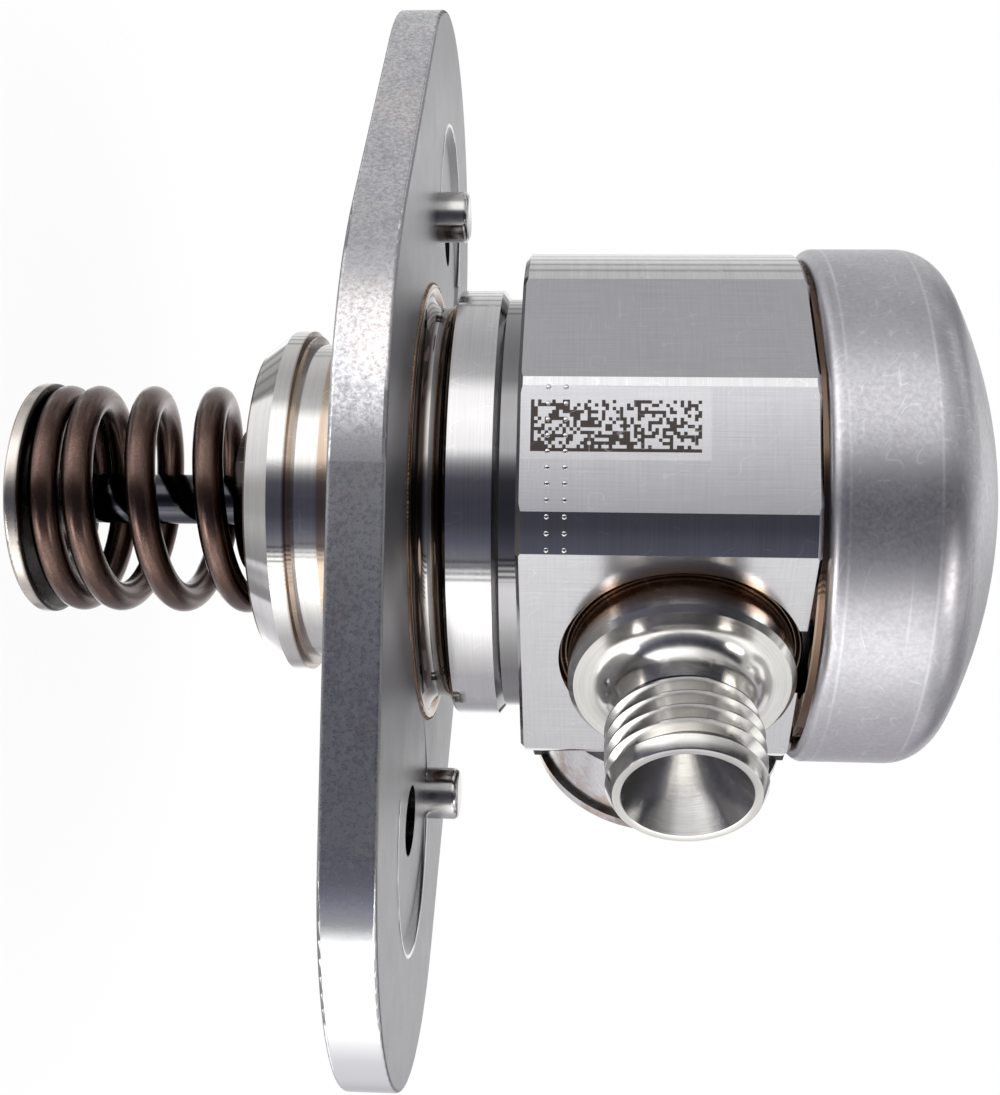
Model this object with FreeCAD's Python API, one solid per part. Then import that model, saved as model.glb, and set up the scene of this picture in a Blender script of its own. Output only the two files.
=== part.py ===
import FreeCAD, Part
import math
import os

# High pressure fuel pump, in millimetres and degrees.
# Z is the plunger axis, with the origin on the mounting face of the flange.
# The bolt holes lie on X, and azimuths are measured from X towards Y.

# Clearances and fits
slide_gap = 0.02
guide_gap = 0.05
ball_seat_gap = 0.06
ball_guide_gap = 0.4

# Mounting flange
flange_thick = 4.8
flange_middle_r = 35.8
flange_end_r = 24.1
flange_edge_round = 0.35
bolt_circle_r = 33.4
bolt_hole_r = 3.3
coin_r = 11.0
coin_skirt = 1.1
coin_depth = 0.7
pin_r = 2.6
pin_height = 3.25
pin_circle_r = 30.0
pin_azimuth = 21.0
pin_round = 0.6
flange_weld_width = 1.1
flange_weld_height = 0.3

# Pump body
boss_r = 21.9
neck_groove_r = 19.9
collar_r = 21.66
collar_length = 5.0
collar_chamfer = 0.6
neck_r = 20.8
neck_length = 1.7
body_r = 25.3
body_length = 26.35
body_chamfer = 0.45
flat_chamfer = 0.3
body_start_above_flange = 9.7
seam_groove_r = 23.4
seam_groove_width = 0.45
cap_spigot_length = 4.8
damper_recess_r = 22.0
damper_recess_depth = 8.5
shoulder_r = 16.9
shoulder_length = 4.4
seal_groove_r = 16.2
seal_groove_width = 2.4
label_flat_azimuth = -75.7
label_flat_distance = 24.67
upper_flat_azimuth = -105.4
upper_flat_distance = 24.45
inlet_flat_distance = 24.3
port_flat_distance = 21.6
port_azimuth = -23.1
port_height_above_flange = 24.65
solenoid_turn = 90.0
inlet_azimuth = 145.5

# Seal carrier and plunger seal
carrier_r = 17.5
carrier_rim_r = 15.5
carrier_land = 1.6
carrier_step_r = 17.0
carrier_step = 0.56
carrier_length = 4.8
carrier_floor = 1.0
carrier_pocket_gap = 0.9
carrier_tube_wall = 2.0
carrier_tube_length = 6.7
carrier_lip = 0.8
seal_wall = 2.75
seal_lip = 0.9

# Plunger, cylinder and retainer
stem_r = 2.6
plunger_r = 4.5
plunger_head_length = 18.9
plunger_stroke = 4.5
plunger_chamfer = 0.4
plunger_tip = 0.3
sleeve_wall = 3.48
sleeve_top_above_flange = 19.2
chamber_r = 4.8
chamber_height = 10.0
retainer_r = 12.0
retainer_thick = 1.6
retainer_round = 0.45
retainer_hub_r = 5.6
retainer_hub_height = 2.0
retainer_dish_r = 8.2
retainer_dish_depth = 0.5

# Return spring
spring_wire_r = 1.5
spring_mean_r = 10.3
spring_length = 26.8
spring_closed_pitch = 3.05
spring_lower_closed_turns = 1.1
spring_lower_blend_turns = 0.8
spring_active_turns = 2.0
spring_upper_blend_turns = 0.5
spring_upper_closed_turns = 0.9
spring_end_inset = 0.4
spring_start_azimuth = 115.6
spring_points_per_turn = 16

# Damper cap and the damper inside it
cap_r = 25.8
cap_wall = 1.2
cap_height = 19.2
cap_crown_r = 48.0
cap_corner_r = 4.6
cap_lip_round = 1.1
capsule_r = 19.8
capsule_rim = 0.8
capsule_rise = 2.4
capsule_flat_r = 15.5
damper_ring_wall = 0.8
damper_ring_r = 19.2
damper_lower_ring_height = 4.5
damper_middle_ring_height = 7.0
damper_window_width = 9.0
damper_window_count = 4

# Outlet fitting and outlet valve, measured outwards along the port
port_seat_r = 11.2
port_seat_depth = 1.2
fitting_flange_r = 10.3
fitting_flange_length = 4.5
fitting_flange_chamfer = 0.5
fitting_shank_r = 7.0
fitting_shank_length = 7.4
fitting_neck_r = 6.1
fitting_neck_foot_r = 8.7
fitting_neck_length = 3.9
thread_r = 7.0
thread_length = 7.15
thread_lip_r = 6.46
thread_lip_length = 1.1
cone_mouth_r = 5.63
cone_half_angle = 30.0
outlet_bore_r = 1.75
valve_chamber_r = 4.5
valve_chamber_length = 8.0
valve_seat_length = 4.0
valve_bore_r = 1.6
valve_ball_r = 2.2
valve_seat_angle = 45.0
valve_lift = 0.6
cage_end_wall = 1.0
cage_window = 1.8
cage_window_count = 3
chamber_port_r = 2.5

# Solenoid and inlet valve, measured outwards along the solenoid
solenoid_neck_r = 10.8
solenoid_neck_length = 5.0
solenoid_can_r = 14.0
solenoid_can_length = 8.4
solenoid_can_wall = 0.6
solenoid_cover_lip = 0.6
solenoid_cover_thick = 1.5
solenoid_cover_round = 0.5
pole_r = 7.0
armature_r = 6.3
armature_length = 3.8
armature_spare_gap = 0.15
armature_end_gap = 0.3
bobbin_wall = 1.2
bobbin_flange_gap = 0.3
bobbin_flange_thick = 0.9
coil_gap = 0.2
inlet_seat_length = 4.0
inlet_seat_bore_r = 2.2
inlet_valve_head_r = 3.4
inlet_valve_head_thick = 1.2
inlet_valve_stem_r = 1.0
inlet_valve_travel = 0.45
inlet_cavity_r = 4.5
inlet_cavity_length = 4.2
feed_gap = 3.9
feed_passage_r = 1.6

# Connector on the solenoid
connector_band = 1.3
connector_band_start = 0.9
connector_band_back = -5.0
connector_width = 17.0
connector_depth = 12.0
connector_reach = 36.0
connector_wall = 1.5
connector_socket_depth = 13.0
connector_round = 1.6
terminal_width = 2.6
terminal_thick = 0.7
terminal_spacing = 6.0
terminal_length = 6.5

# Inlet fitting
inlet_shank_r = 5.0
inlet_shank_depth = 6.0
inlet_collar_r = 7.2
inlet_collar_length = 3.0
inlet_tube_r = 3.95
inlet_tube_length = 18.0
inlet_bead_r = 4.8
inlet_bead_width = 1.8
inlet_bead_from_end = 6.0
inlet_bore_r = 2.8
inlet_passage_start = 13.5
filter_length = 9.0
filter_wall = 0.35
filter_tip_r = 1.5

# Heights worked out from the sizes above
flange_top = flange_thick
body_bottom = flange_top + body_start_above_flange
body_top = body_bottom + body_length
collar_top = body_bottom - neck_length
collar_bottom = collar_top - collar_length
cap_bottom = body_top + seam_groove_width
spigot_top = cap_bottom + cap_spigot_length
cap_inner_r = cap_r - cap_wall
cap_top = cap_bottom + cap_height
recess_floor = spigot_top - damper_recess_depth
port_height = flange_top + port_height_above_flange
solenoid_azimuth = port_azimuth + solenoid_turn
body_foot = -(shoulder_length + seal_groove_width)
carrier_bottom = body_foot - carrier_length
spring_seat = body_foot - carrier_floor
retainer_top = spring_seat - spring_length
retainer_bottom = retainer_top - retainer_thick
sleeve_r = plunger_r + slide_gap + sleeve_wall
sleeve_top = flange_top + sleeve_top_above_flange
plunger_top = sleeve_top - plunger_stroke
stem_top = plunger_top - plunger_head_length
chamber_top = sleeve_top + chamber_height
seal_bore_r = stem_r + guide_gap
seal_r = stem_r + seal_wall
tube_r = seal_r + carrier_tube_wall
spring_outer_r = spring_mean_r + spring_wire_r

# Places along the port, from the pump axis
port_seat_floor = port_flat_distance - port_seat_depth
fitting_face = port_seat_floor + fitting_flange_length
thread_start = fitting_face + fitting_neck_length
port_mouth = thread_start + thread_length + thread_lip_length
shank_start = port_seat_floor - fitting_shank_length
valve_seat_start = shank_start - valve_seat_length
cone_depth = (cone_mouth_r - outlet_bore_r) / math.tan(math.radians(cone_half_angle))
ball_rest = valve_ball_r / math.sin(math.radians(valve_seat_angle)) + ball_seat_gap
seat_cone_r = valve_ball_r * 1.15
ball_centre = shank_start + ball_rest - seat_cone_r / math.tan(math.radians(valve_seat_angle))
cage_inner_r = valve_ball_r + ball_guide_gap
cage_length = ball_centre + valve_ball_r + valve_lift + ball_guide_gap + cage_end_wall - shank_start

# Places along the solenoid, from the pump axis
solenoid_face = port_flat_distance
can_base = solenoid_face + solenoid_neck_length
can_end = can_base + solenoid_can_length
solenoid_cover_r = solenoid_can_r + solenoid_cover_lip
inlet_seat_start = chamber_r + inlet_cavity_length
inlet_seat_end = inlet_seat_start + inlet_seat_length
armature_end = can_end - armature_end_gap
armature_start = armature_end - armature_length
pole_end = armature_start - inlet_valve_travel - armature_spare_gap
pole_start = inlet_seat_end + feed_gap
bobbin_start = can_base + solenoid_can_wall


def point(radius, height):
    """Return a point of a turned profile."""
    return FreeCAD.Vector(radius, 0, height)


def outline_face(steps, place):
    """Return a face from an outline: a pair is a corner, and two pairs are an arc's middle and end."""
    edges = []
    start = place(*steps[0])
    first = start
    for step in steps[1:]:
        if isinstance(step[0], tuple):
            end = place(*step[1])
            edges.append(Part.Arc(start, place(*step[0]), end).toShape())
        else:
            end = place(*step)
            edges.append(Part.LineSegment(start, end).toShape())
        start = end
    if start.distanceToPoint(first) > 1e-7:
        edges.append(Part.LineSegment(start, first).toShape())
    return Part.Face(Part.Wire(edges))


def turned(steps):
    """Return the solid that a profile of radius and height sweeps about the Z axis."""
    face = outline_face(steps, point)
    return face.revolve(FreeCAD.Vector(), FreeCAD.Vector(0, 0, 1), 360)


def rod(radius, start, end):
    """Return a round bar on the Z axis."""
    return Part.makeCylinder(radius, end - start, FreeCAD.Vector(0, 0, start))


def tube(outer, inner, start, end):
    """Return a round tube on the Z axis."""
    return rod(outer, start, end).cut(rod(inner, start, end))


def block(x_range, y_range, z_range):
    """Return a box between the given limits."""
    size = [limits[1] - limits[0] for limits in (x_range, y_range, z_range)]
    return Part.makeBox(*size, FreeCAD.Vector(x_range[0], y_range[0], z_range[0]))


def radial(shape, azimuth):
    """Lay a shape that was made on Z along a side axis of the pump at the port's height."""
    laid = shape.copy()
    laid.rotate(FreeCAD.Vector(), FreeCAD.Vector(0, 1, 0), 90)
    laid.rotate(FreeCAD.Vector(), FreeCAD.Vector(0, 0, 1), azimuth)
    laid.translate(FreeCAD.Vector(0, 0, port_height))
    return laid


def turned_about_axis(shape, angle):
    """Return a copy of a shape turned about the pump axis."""
    moved = shape.copy()
    moved.rotate(FreeCAD.Vector(), FreeCAD.Vector(0, 0, 1), angle)
    return moved


def flange_plate():
    """Return the plate whose outline wraps a middle circle and two end circles."""
    lean = (flange_middle_r - flange_end_r) / bolt_circle_r
    rise = math.sqrt(1 - lean * lean)
    middle_x = flange_middle_r * lean
    middle_y = flange_middle_r * rise
    end_x = bolt_circle_r + flange_end_r * lean
    end_y = flange_end_r * rise
    tip = bolt_circle_r + flange_end_r
    steps = [
        (middle_x, middle_y),
        (end_x, end_y),
        ((tip, 0), (end_x, -end_y)),
        (middle_x, -middle_y),
        ((0, -flange_middle_r), (-middle_x, -middle_y)),
        (-end_x, -end_y),
        ((-tip, 0), (-end_x, end_y)),
        (-middle_x, middle_y),
        ((0, flange_middle_r), (middle_x, middle_y)),
    ]
    face = outline_face(steps, lambda x, y: FreeCAD.Vector(x, y, 0))
    plate = face.extrude(FreeCAD.Vector(0, 0, flange_thick))
    rims = [edge for edge in plate.Edges if abs(edge.tangentAt(edge.FirstParameter).z) < 0.5]
    return plate.makeFillet(flange_edge_round, rims)


def bolt_coin():
    """Return the tilted shallow dish that is pressed round one bolt hole."""
    height = 1.0
    top_r = coin_r + coin_skirt * height / coin_depth
    dish = Part.makeCone(coin_r, top_r, height, FreeCAD.Vector(bolt_circle_r, 0, flange_top))
    hinge = FreeCAD.Vector(bolt_circle_r - coin_r, 0, flange_top)
    tilt = math.degrees(math.atan(coin_depth / (2 * coin_r)))
    dish.rotate(hinge, FreeCAD.Vector(0, 1, 0), tilt)
    return dish


def mounting_flange():
    """Return the flange with its body opening, bolt holes, dishes and pin holes."""
    plate = flange_plate().cut(rod(boss_r, 0, flange_top))
    hole = rod(bolt_hole_r, 0, flange_top)
    hole.translate(FreeCAD.Vector(bolt_circle_r, 0, 0))
    pin_hole = rod(pin_r, 0, flange_top)
    pin_hole.translate(FreeCAD.Vector(pin_circle_r, 0, 0))
    pin_hole = turned_about_axis(pin_hole, pin_azimuth)
    for side in (0, 180):
        for cutter in (bolt_coin(), hole, pin_hole):
            plate = plate.cut(turned_about_axis(cutter, side))
    return plate


def guide_pin(side):
    """Return one round-ended pin that is pressed through the flange."""
    top = flange_top + pin_height
    pin = rod(pin_r, 0, top)
    rim = [edge for edge in pin.Edges if edge.Closed and abs(edge.CenterOfMass.z - top) < 1e-6]
    pin = pin.makeFillet(pin_round, rim)
    pin.translate(FreeCAD.Vector(pin_circle_r, 0, 0))
    return turned_about_axis(pin, pin_azimuth + side)


def flange_weld():
    """Return the low weld bead round the body on the flange."""
    inner = boss_r - flange_weld_width / 2
    outer = boss_r + flange_weld_width / 2
    crest = (boss_r, flange_top + flange_weld_height)
    return turned([(inner, flange_top), (crest, (outer, flange_top))])


def body_turning():
    """Return the turned body before its flats and bores are cut."""
    weld_inner = boss_r - flange_weld_width / 2
    groove_middle = (flange_top + collar_bottom) / 2
    profile = [
        (0, body_foot),
        (seal_groove_r, body_foot),
        (seal_groove_r, -shoulder_length),
        (shoulder_r, -shoulder_length),
        (shoulder_r, 0),
        (boss_r, 0),
        (boss_r, flange_top),
        (weld_inner, flange_top),
        ((neck_groove_r, groove_middle), (collar_r - collar_chamfer / 2, collar_bottom)),
        (collar_r, collar_bottom + collar_chamfer / 2),
        (collar_r, collar_top - collar_chamfer),
        (neck_r, collar_top),
        (neck_r, body_bottom),
        (body_r - body_chamfer, body_bottom),
        (body_r, body_bottom + body_chamfer),
        (body_r, body_top - body_chamfer),
        (body_r - body_chamfer, body_top),
        (seam_groove_r, body_top),
        (seam_groove_r, cap_bottom),
        (cap_inner_r, cap_bottom),
        (cap_inner_r, spigot_top),
        (damper_recess_r, spigot_top),
        (damper_recess_r, recess_floor),
        (0, recess_floor),
    ]
    return turned(profile)


def flat_cutter(azimuth, distance):
    """Return the block that mills one flat, with a chamfer at both ends, on the side of the body."""
    reach = body_r + 5
    over = 0.01
    inner = distance - flat_chamfer
    profile = [
        (reach, body_bottom - over),
        (inner - over, body_bottom - over),
        (distance, body_bottom + flat_chamfer),
        (distance, body_top - flat_chamfer),
        (inner - over, body_top + over),
        (reach, body_top + over),
    ]
    face = outline_face(profile, lambda x, z: FreeCAD.Vector(x, -reach, z))
    cutter = face.extrude(FreeCAD.Vector(0, 2 * reach, 0))
    return turned_about_axis(cutter, azimuth)


def pump_body():
    """Return the body with its flats, cylinder bore, pressure chamber and passages."""
    body = body_turning()
    flats = (
        (label_flat_azimuth, label_flat_distance),
        (upper_flat_azimuth, upper_flat_distance),
        (inlet_azimuth, inlet_flat_distance),
        (port_azimuth, port_flat_distance),
        (solenoid_azimuth, port_flat_distance),
    )
    for azimuth, distance in flats:
        body = body.cut(flat_cutter(azimuth, distance))
    port_bores = rod(chamber_port_r, 0, valve_seat_start)
    port_bores = port_bores.fuse(rod(fitting_shank_r, valve_seat_start, port_seat_floor))
    port_bores = port_bores.fuse(rod(port_seat_r, port_seat_floor, body_r))
    valve_bores = rod(inlet_cavity_r, 0, inlet_seat_start)
    valve_bores = valve_bores.fuse(rod(pole_r, inlet_seat_start, body_r))
    inlet_bores = rod(inlet_shank_r, inlet_flat_distance - inlet_shank_depth, body_r)
    inlet_bores = inlet_bores.fuse(rod(inlet_bore_r, inlet_passage_start, body_r))
    feed = rod(feed_passage_r, port_height, recess_floor + 1)
    feed.translate(FreeCAD.Vector(inlet_seat_end + feed_gap / 2, 0, 0))
    riser = rod(feed_passage_r, port_height, recess_floor + 1)
    riser.translate(FreeCAD.Vector(inlet_passage_start + feed_passage_r, 0, 0))
    cutters = [
        rod(sleeve_r, body_foot, sleeve_top),
        rod(chamber_r, sleeve_top, chamber_top),
        radial(port_bores, port_azimuth),
        radial(valve_bores, solenoid_azimuth),
        radial(inlet_bores, inlet_azimuth),
        turned_about_axis(feed, solenoid_azimuth),
        turned_about_axis(riser, inlet_azimuth),
    ]
    for cutter in cutters:
        body = body.cut(cutter)
    return body


def cylinder_sleeve():
    """Return the hardened sleeve that the plunger runs in."""
    return tube(sleeve_r, plunger_r + slide_gap, body_foot, sleeve_top)


def seal_carrier():
    """Return the turned carrier with its spring pocket and the tube that holds the seal."""
    pocket_r = spring_outer_r + carrier_pocket_gap
    step_bottom = body_foot - carrier_step
    land_bottom = step_bottom - carrier_land
    tube_bottom = spring_seat - carrier_tube_length
    lip_r = stem_r + guide_gap * 8
    return turned([
        (seal_r, body_foot),
        (carrier_step_r, body_foot),
        (carrier_step_r, step_bottom),
        (carrier_r, step_bottom),
        (carrier_r, land_bottom),
        (carrier_rim_r, carrier_bottom),
        (pocket_r, carrier_bottom),
        (pocket_r, spring_seat),
        (tube_r, spring_seat),
        (tube_r, tube_bottom),
        (lip_r, tube_bottom),
        (lip_r, tube_bottom + carrier_lip),
        (seal_r, tube_bottom + carrier_lip),
    ])


def plunger_seal():
    """Return the double-lipped seal that wipes the plunger stem."""
    bottom = spring_seat - carrier_tube_length + carrier_lip
    middle_r = seal_bore_r + seal_wall * 0.35
    return turned([
        (seal_bore_r, bottom),
        (seal_r, bottom),
        (seal_r, body_foot),
        (seal_bore_r, body_foot),
        (seal_bore_r, body_foot - seal_lip),
        (middle_r, body_foot - seal_lip * 2),
        (middle_r, bottom + seal_lip * 2),
        (seal_bore_r, bottom + seal_lip),
    ])


def plunger():
    """Return the stepped plunger from its foot to its head."""
    foot = retainer_bottom - plunger_tip
    return turned([
        (0, foot),
        (stem_r - plunger_chamfer, foot),
        (stem_r, foot + plunger_chamfer),
        (stem_r, stem_top),
        (plunger_r - plunger_chamfer, stem_top),
        (plunger_r, stem_top + plunger_chamfer),
        (plunger_r, plunger_top - plunger_chamfer),
        (plunger_r - plunger_chamfer, plunger_top),
        (0, plunger_top),
    ])


def round_corner(outer_r, level, inwards, upwards, radius):
    """Return the arc step that rounds an outer corner of a turned profile."""
    shift = radius * (1 - math.sqrt(0.5))
    middle = (outer_r - shift, level + upwards * shift)
    end = (outer_r, level + upwards * radius)
    if not inwards:
        end = (outer_r - radius, level)
    return (middle, end)


def spring_retainer():
    """Return the dished plate that the stem carries under the spring."""
    dish_top = retainer_bottom + retainer_dish_depth
    return turned([
        (stem_r, dish_top),
        (retainer_dish_r - retainer_dish_depth, dish_top),
        (retainer_dish_r, retainer_bottom),
        (retainer_r - retainer_round, retainer_bottom),
        round_corner(retainer_r, retainer_bottom, True, 1, retainer_round),
        (retainer_r, retainer_top - retainer_round),
        round_corner(retainer_r, retainer_top, False, -1, retainer_round),
        (retainer_hub_r + retainer_hub_height / 2, retainer_top),
        (retainer_hub_r, retainer_top + retainer_hub_height),
        (stem_r, retainer_top + retainer_hub_height),
    ])


def spring_pitch_spans():
    """Return the spring's spans as turns with the pitch at their start and end."""
    rise = spring_length - 2 * spring_end_inset
    closed_turns = spring_lower_closed_turns + spring_upper_closed_turns
    blend_turns = spring_lower_blend_turns + spring_upper_blend_turns
    shared = rise - spring_closed_pitch * (closed_turns + blend_turns / 2)
    active_pitch = shared / (spring_active_turns + blend_turns / 2)
    return [
        (spring_lower_closed_turns, spring_closed_pitch, spring_closed_pitch),
        (spring_lower_blend_turns, spring_closed_pitch, active_pitch),
        (spring_active_turns, active_pitch, active_pitch),
        (spring_upper_blend_turns, active_pitch, spring_closed_pitch),
        (spring_upper_closed_turns, spring_closed_pitch, spring_closed_pitch),
    ]


def spring_height_at(turn, spans):
    """Return how far the wire's centre has risen after a number of turns."""
    height = 0.0
    for turns, first_pitch, last_pitch in spans:
        part = min(turn, turns)
        pitch = first_pitch + (last_pitch - first_pitch) * part / turns
        height += part * (first_pitch + pitch) / 2
        turn -= part
    return height


def plunger_spring():
    """Return the return spring with closed ends that are ground flat."""
    spans = spring_pitch_spans()
    turns = sum(span[0] for span in spans)
    count = round(turns * spring_points_per_turn)
    path = []
    for index in range(count + 1):
        turn = turns * index / count
        angle = math.radians(spring_start_azimuth + 360 * turn)
        height = retainer_top + spring_end_inset + spring_height_at(turn, spans)
        path.append(FreeCAD.Vector(spring_mean_r * math.cos(angle), spring_mean_r * math.sin(angle), height))
    curve = Part.BSplineCurve()
    curve.interpolate(path)
    start_direction = curve.tangent(curve.FirstParameter)[0]
    section = Part.Wire(Part.Circle(path[0], start_direction, spring_wire_r).toShape())
    wire = Part.Wire(curve.toShape()).makePipeShell([section], True, True)
    ground = tube(spring_outer_r + 1, spring_mean_r - spring_wire_r - 1, retainer_top, spring_seat)
    return wire.common(ground)


def cap_form(radius, crown_r, top, corner_r, bottom):
    """Return a round solid with a domed crown and a rounded corner."""
    crown_centre = top - crown_r
    edge_height = crown_centre + math.sqrt(crown_r * crown_r - radius * radius)
    crown_half = radius / 2
    crown_mid = (crown_half, crown_centre + math.sqrt(crown_r * crown_r - crown_half * crown_half))
    form = turned([(0, bottom), (radius, bottom), (radius, edge_height), (crown_mid, (0, top))])
    rim = [edge for edge in form.Edges if edge.Closed and abs(edge.CenterOfMass.z - edge_height) < 1e-6]
    return form.makeFillet(corner_r, rim)


def damper_cap():
    """Return the deep-drawn cap over the damper."""
    outer = cap_form(cap_r, cap_crown_r, cap_top, cap_corner_r, cap_bottom)
    lip = [edge for edge in outer.Edges if edge.Closed and abs(edge.CenterOfMass.z - cap_bottom) < 1e-6]
    outer = outer.makeFillet(cap_lip_round, lip)
    inner_corner = cap_corner_r - cap_wall
    inner = cap_form(cap_inner_r, cap_crown_r - cap_wall, cap_top - cap_wall, inner_corner, cap_bottom)
    return outer.cut(inner)


def damper_ring(bottom, top):
    """Return one sheet ring with windows that let fuel pass."""
    ring = tube(damper_ring_r, damper_ring_r - damper_ring_wall, bottom, top)
    margin = (top - bottom) * 0.3
    half = damper_window_width / 2
    window = block((0, damper_ring_r + 1), (-half, half), (bottom + margin, top - margin))
    for index in range(damper_window_count):
        ring = ring.cut(turned_about_axis(window, 360 * index / damper_window_count))
    return ring


def damper_capsule(bottom):
    """Return one gas-filled capsule of two welded membranes."""
    top = bottom + capsule_rim
    return turned([
        (0, bottom - capsule_rise),
        (capsule_flat_r / 2, bottom - capsule_rise),
        (capsule_flat_r, bottom),
        (capsule_r, bottom),
        (capsule_r, top),
        (capsule_flat_r, top),
        (capsule_flat_r / 2, top + capsule_rise),
        (0, top + capsule_rise),
    ])


def outlet_fitting():
    """Return the threaded outlet with its flange, neck and sealing cone."""
    cone_start = port_mouth - cone_depth
    neck_mid_r = fitting_neck_r + (fitting_neck_foot_r - fitting_neck_r) * 0.25
    neck_mid = fitting_face + fitting_neck_length * 0.35
    cavity_end = shank_start + valve_chamber_length
    fitting = turned([
        (valve_chamber_r, shank_start),
        (fitting_shank_r, shank_start),
        (fitting_shank_r, port_seat_floor),
        (fitting_flange_r, port_seat_floor),
        (fitting_flange_r, fitting_face - fitting_flange_chamfer),
        (fitting_flange_r - fitting_flange_chamfer, fitting_face),
        (fitting_neck_foot_r, fitting_face),
        ((neck_mid_r, neck_mid), (fitting_neck_r, fitting_face + fitting_neck_length * 0.8)),
        (fitting_neck_r, thread_start),
        (thread_r, thread_start + thread_r - fitting_neck_r),
        (thread_r, thread_start + thread_length),
        (thread_lip_r, port_mouth),
        (cone_mouth_r, port_mouth),
        (outlet_bore_r, cone_start),
        (outlet_bore_r, cavity_end),
        (valve_chamber_r, cavity_end),
    ])
    return radial(fitting, port_azimuth)


def outlet_valve_seat():
    """Return the seat that the outlet ball closes."""
    cone_bottom = shank_start - (seat_cone_r - valve_bore_r) / math.tan(math.radians(valve_seat_angle))
    seat = turned([
        (valve_bore_r, valve_seat_start),
        (fitting_shank_r, valve_seat_start),
        (fitting_shank_r, shank_start),
        (seat_cone_r, shank_start),
        (valve_bore_r, cone_bottom),
    ])
    return radial(seat, port_azimuth)


def outlet_valve_ball():
    """Return the ball of the outlet valve."""
    ball = Part.makeSphere(valve_ball_r, FreeCAD.Vector(0, 0, ball_centre))
    return radial(ball, port_azimuth)


def outlet_valve_cage():
    """Return the windowed cage that guides the ball and stops its lift."""
    end = shank_start + cage_length
    cage = rod(valve_chamber_r, shank_start, end)
    cage = cage.cut(rod(cage_inner_r, shank_start, end - cage_end_wall))
    cage = cage.cut(rod(valve_bore_r, end - cage_end_wall, end))
    half = cage_window / 2
    window = block((0, valve_chamber_r), (-half, half), (shank_start + cage_end_wall, end - cage_end_wall))
    for index in range(cage_window_count):
        cage = cage.cut(turned_about_axis(window, 360 * index / cage_window_count))
    return radial(cage, port_azimuth)


def solenoid_can():
    """Return the steel can with the neck that is welded to the body."""
    inner_r = solenoid_can_r - solenoid_can_wall
    can = turned([
        (pole_r, solenoid_face),
        (solenoid_neck_r, solenoid_face),
        (solenoid_neck_r, can_base),
        (solenoid_can_r, can_base),
        (solenoid_can_r, can_end),
        (inner_r, can_end),
        (inner_r, bobbin_start),
        (pole_r, bobbin_start),
    ])
    return radial(can, solenoid_azimuth)


def solenoid_cover():
    """Return the end cover of the solenoid."""
    end = can_end + solenoid_cover_thick
    cover = turned([
        (0, can_end),
        (solenoid_cover_r, can_end),
        (solenoid_cover_r, end - solenoid_cover_round),
        round_corner(solenoid_cover_r, end, False, -1, solenoid_cover_round),
        (0, end),
    ])
    return radial(cover, solenoid_azimuth)


def coil_bobbin():
    """Return the plastic bobbin that carries the coil."""
    hub_r = pole_r + bobbin_wall
    flange_r = solenoid_can_r - solenoid_can_wall - bobbin_flange_gap
    bobbin = turned([
        (pole_r, bobbin_start),
        (flange_r, bobbin_start),
        (flange_r, bobbin_start + bobbin_flange_thick),
        (hub_r, bobbin_start + bobbin_flange_thick),
        (hub_r, can_end - bobbin_flange_thick),
        (flange_r, can_end - bobbin_flange_thick),
        (flange_r, can_end),
        (pole_r, can_end),
    ])
    return radial(bobbin, solenoid_azimuth)


def solenoid_coil():
    """Return the coil winding as one closed ring."""
    outer = solenoid_can_r - solenoid_can_wall - bobbin_flange_gap - coil_gap
    start = bobbin_start + bobbin_flange_thick
    coil = tube(outer, pole_r + bobbin_wall, start, can_end - bobbin_flange_thick)
    return radial(coil, solenoid_azimuth)


def pole_core():
    """Return the fixed iron core that guides the valve stem."""
    core = tube(pole_r, inlet_valve_stem_r + guide_gap, pole_start, pole_end)
    return radial(core, solenoid_azimuth)


def armature():
    """Return the iron disc that the coil pulls."""
    disc = tube(armature_r, inlet_valve_stem_r, armature_start, armature_end)
    return radial(disc, solenoid_azimuth)


def inlet_valve_seat():
    """Return the seat ring of the inlet valve."""
    ring = tube(pole_r, inlet_seat_bore_r, inlet_seat_start, inlet_seat_end)
    return radial(ring, solenoid_azimuth)


def inlet_valve():
    """Return the mushroom valve whose stem carries the armature."""
    head = rod(inlet_valve_head_r, inlet_seat_start - inlet_valve_head_thick, inlet_seat_start)
    stem = rod(inlet_valve_stem_r, inlet_seat_start, armature_end)
    return radial(head.fuse(stem).removeSplitter(), solenoid_azimuth)


def connector_shell():
    """Return the plastic band round the can with the plug socket at its back."""
    band_start = can_base + connector_band_start
    band_r = solenoid_can_r + connector_band
    band = tube(band_r, solenoid_can_r, band_start, can_end)
    band = band.common(block((-band_r, band_r), (connector_band_back, band_r), (band_start, can_end)))
    half = connector_width / 2
    outer = block((-half, half), (0, connector_reach), (band_start, band_start + connector_depth))
    sides = [edge for edge in outer.Edges if abs(edge.tangentAt(edge.FirstParameter).y) > 0.9]
    outer = outer.makeFillet(connector_round, sides)
    socket = block(
        (-half + connector_wall, half - connector_wall),
        (connector_reach - connector_socket_depth, connector_reach),
        (band_start + connector_wall, band_start + connector_depth - connector_wall),
    )
    outer = outer.cut(rod(solenoid_can_r, band_start, can_end))
    over_cover = rod(solenoid_cover_r + guide_gap * 6, can_end, can_end + connector_depth)
    shell = outer.fuse(band).cut(socket).cut(over_cover).removeSplitter()
    return radial(shell, solenoid_azimuth)


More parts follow.
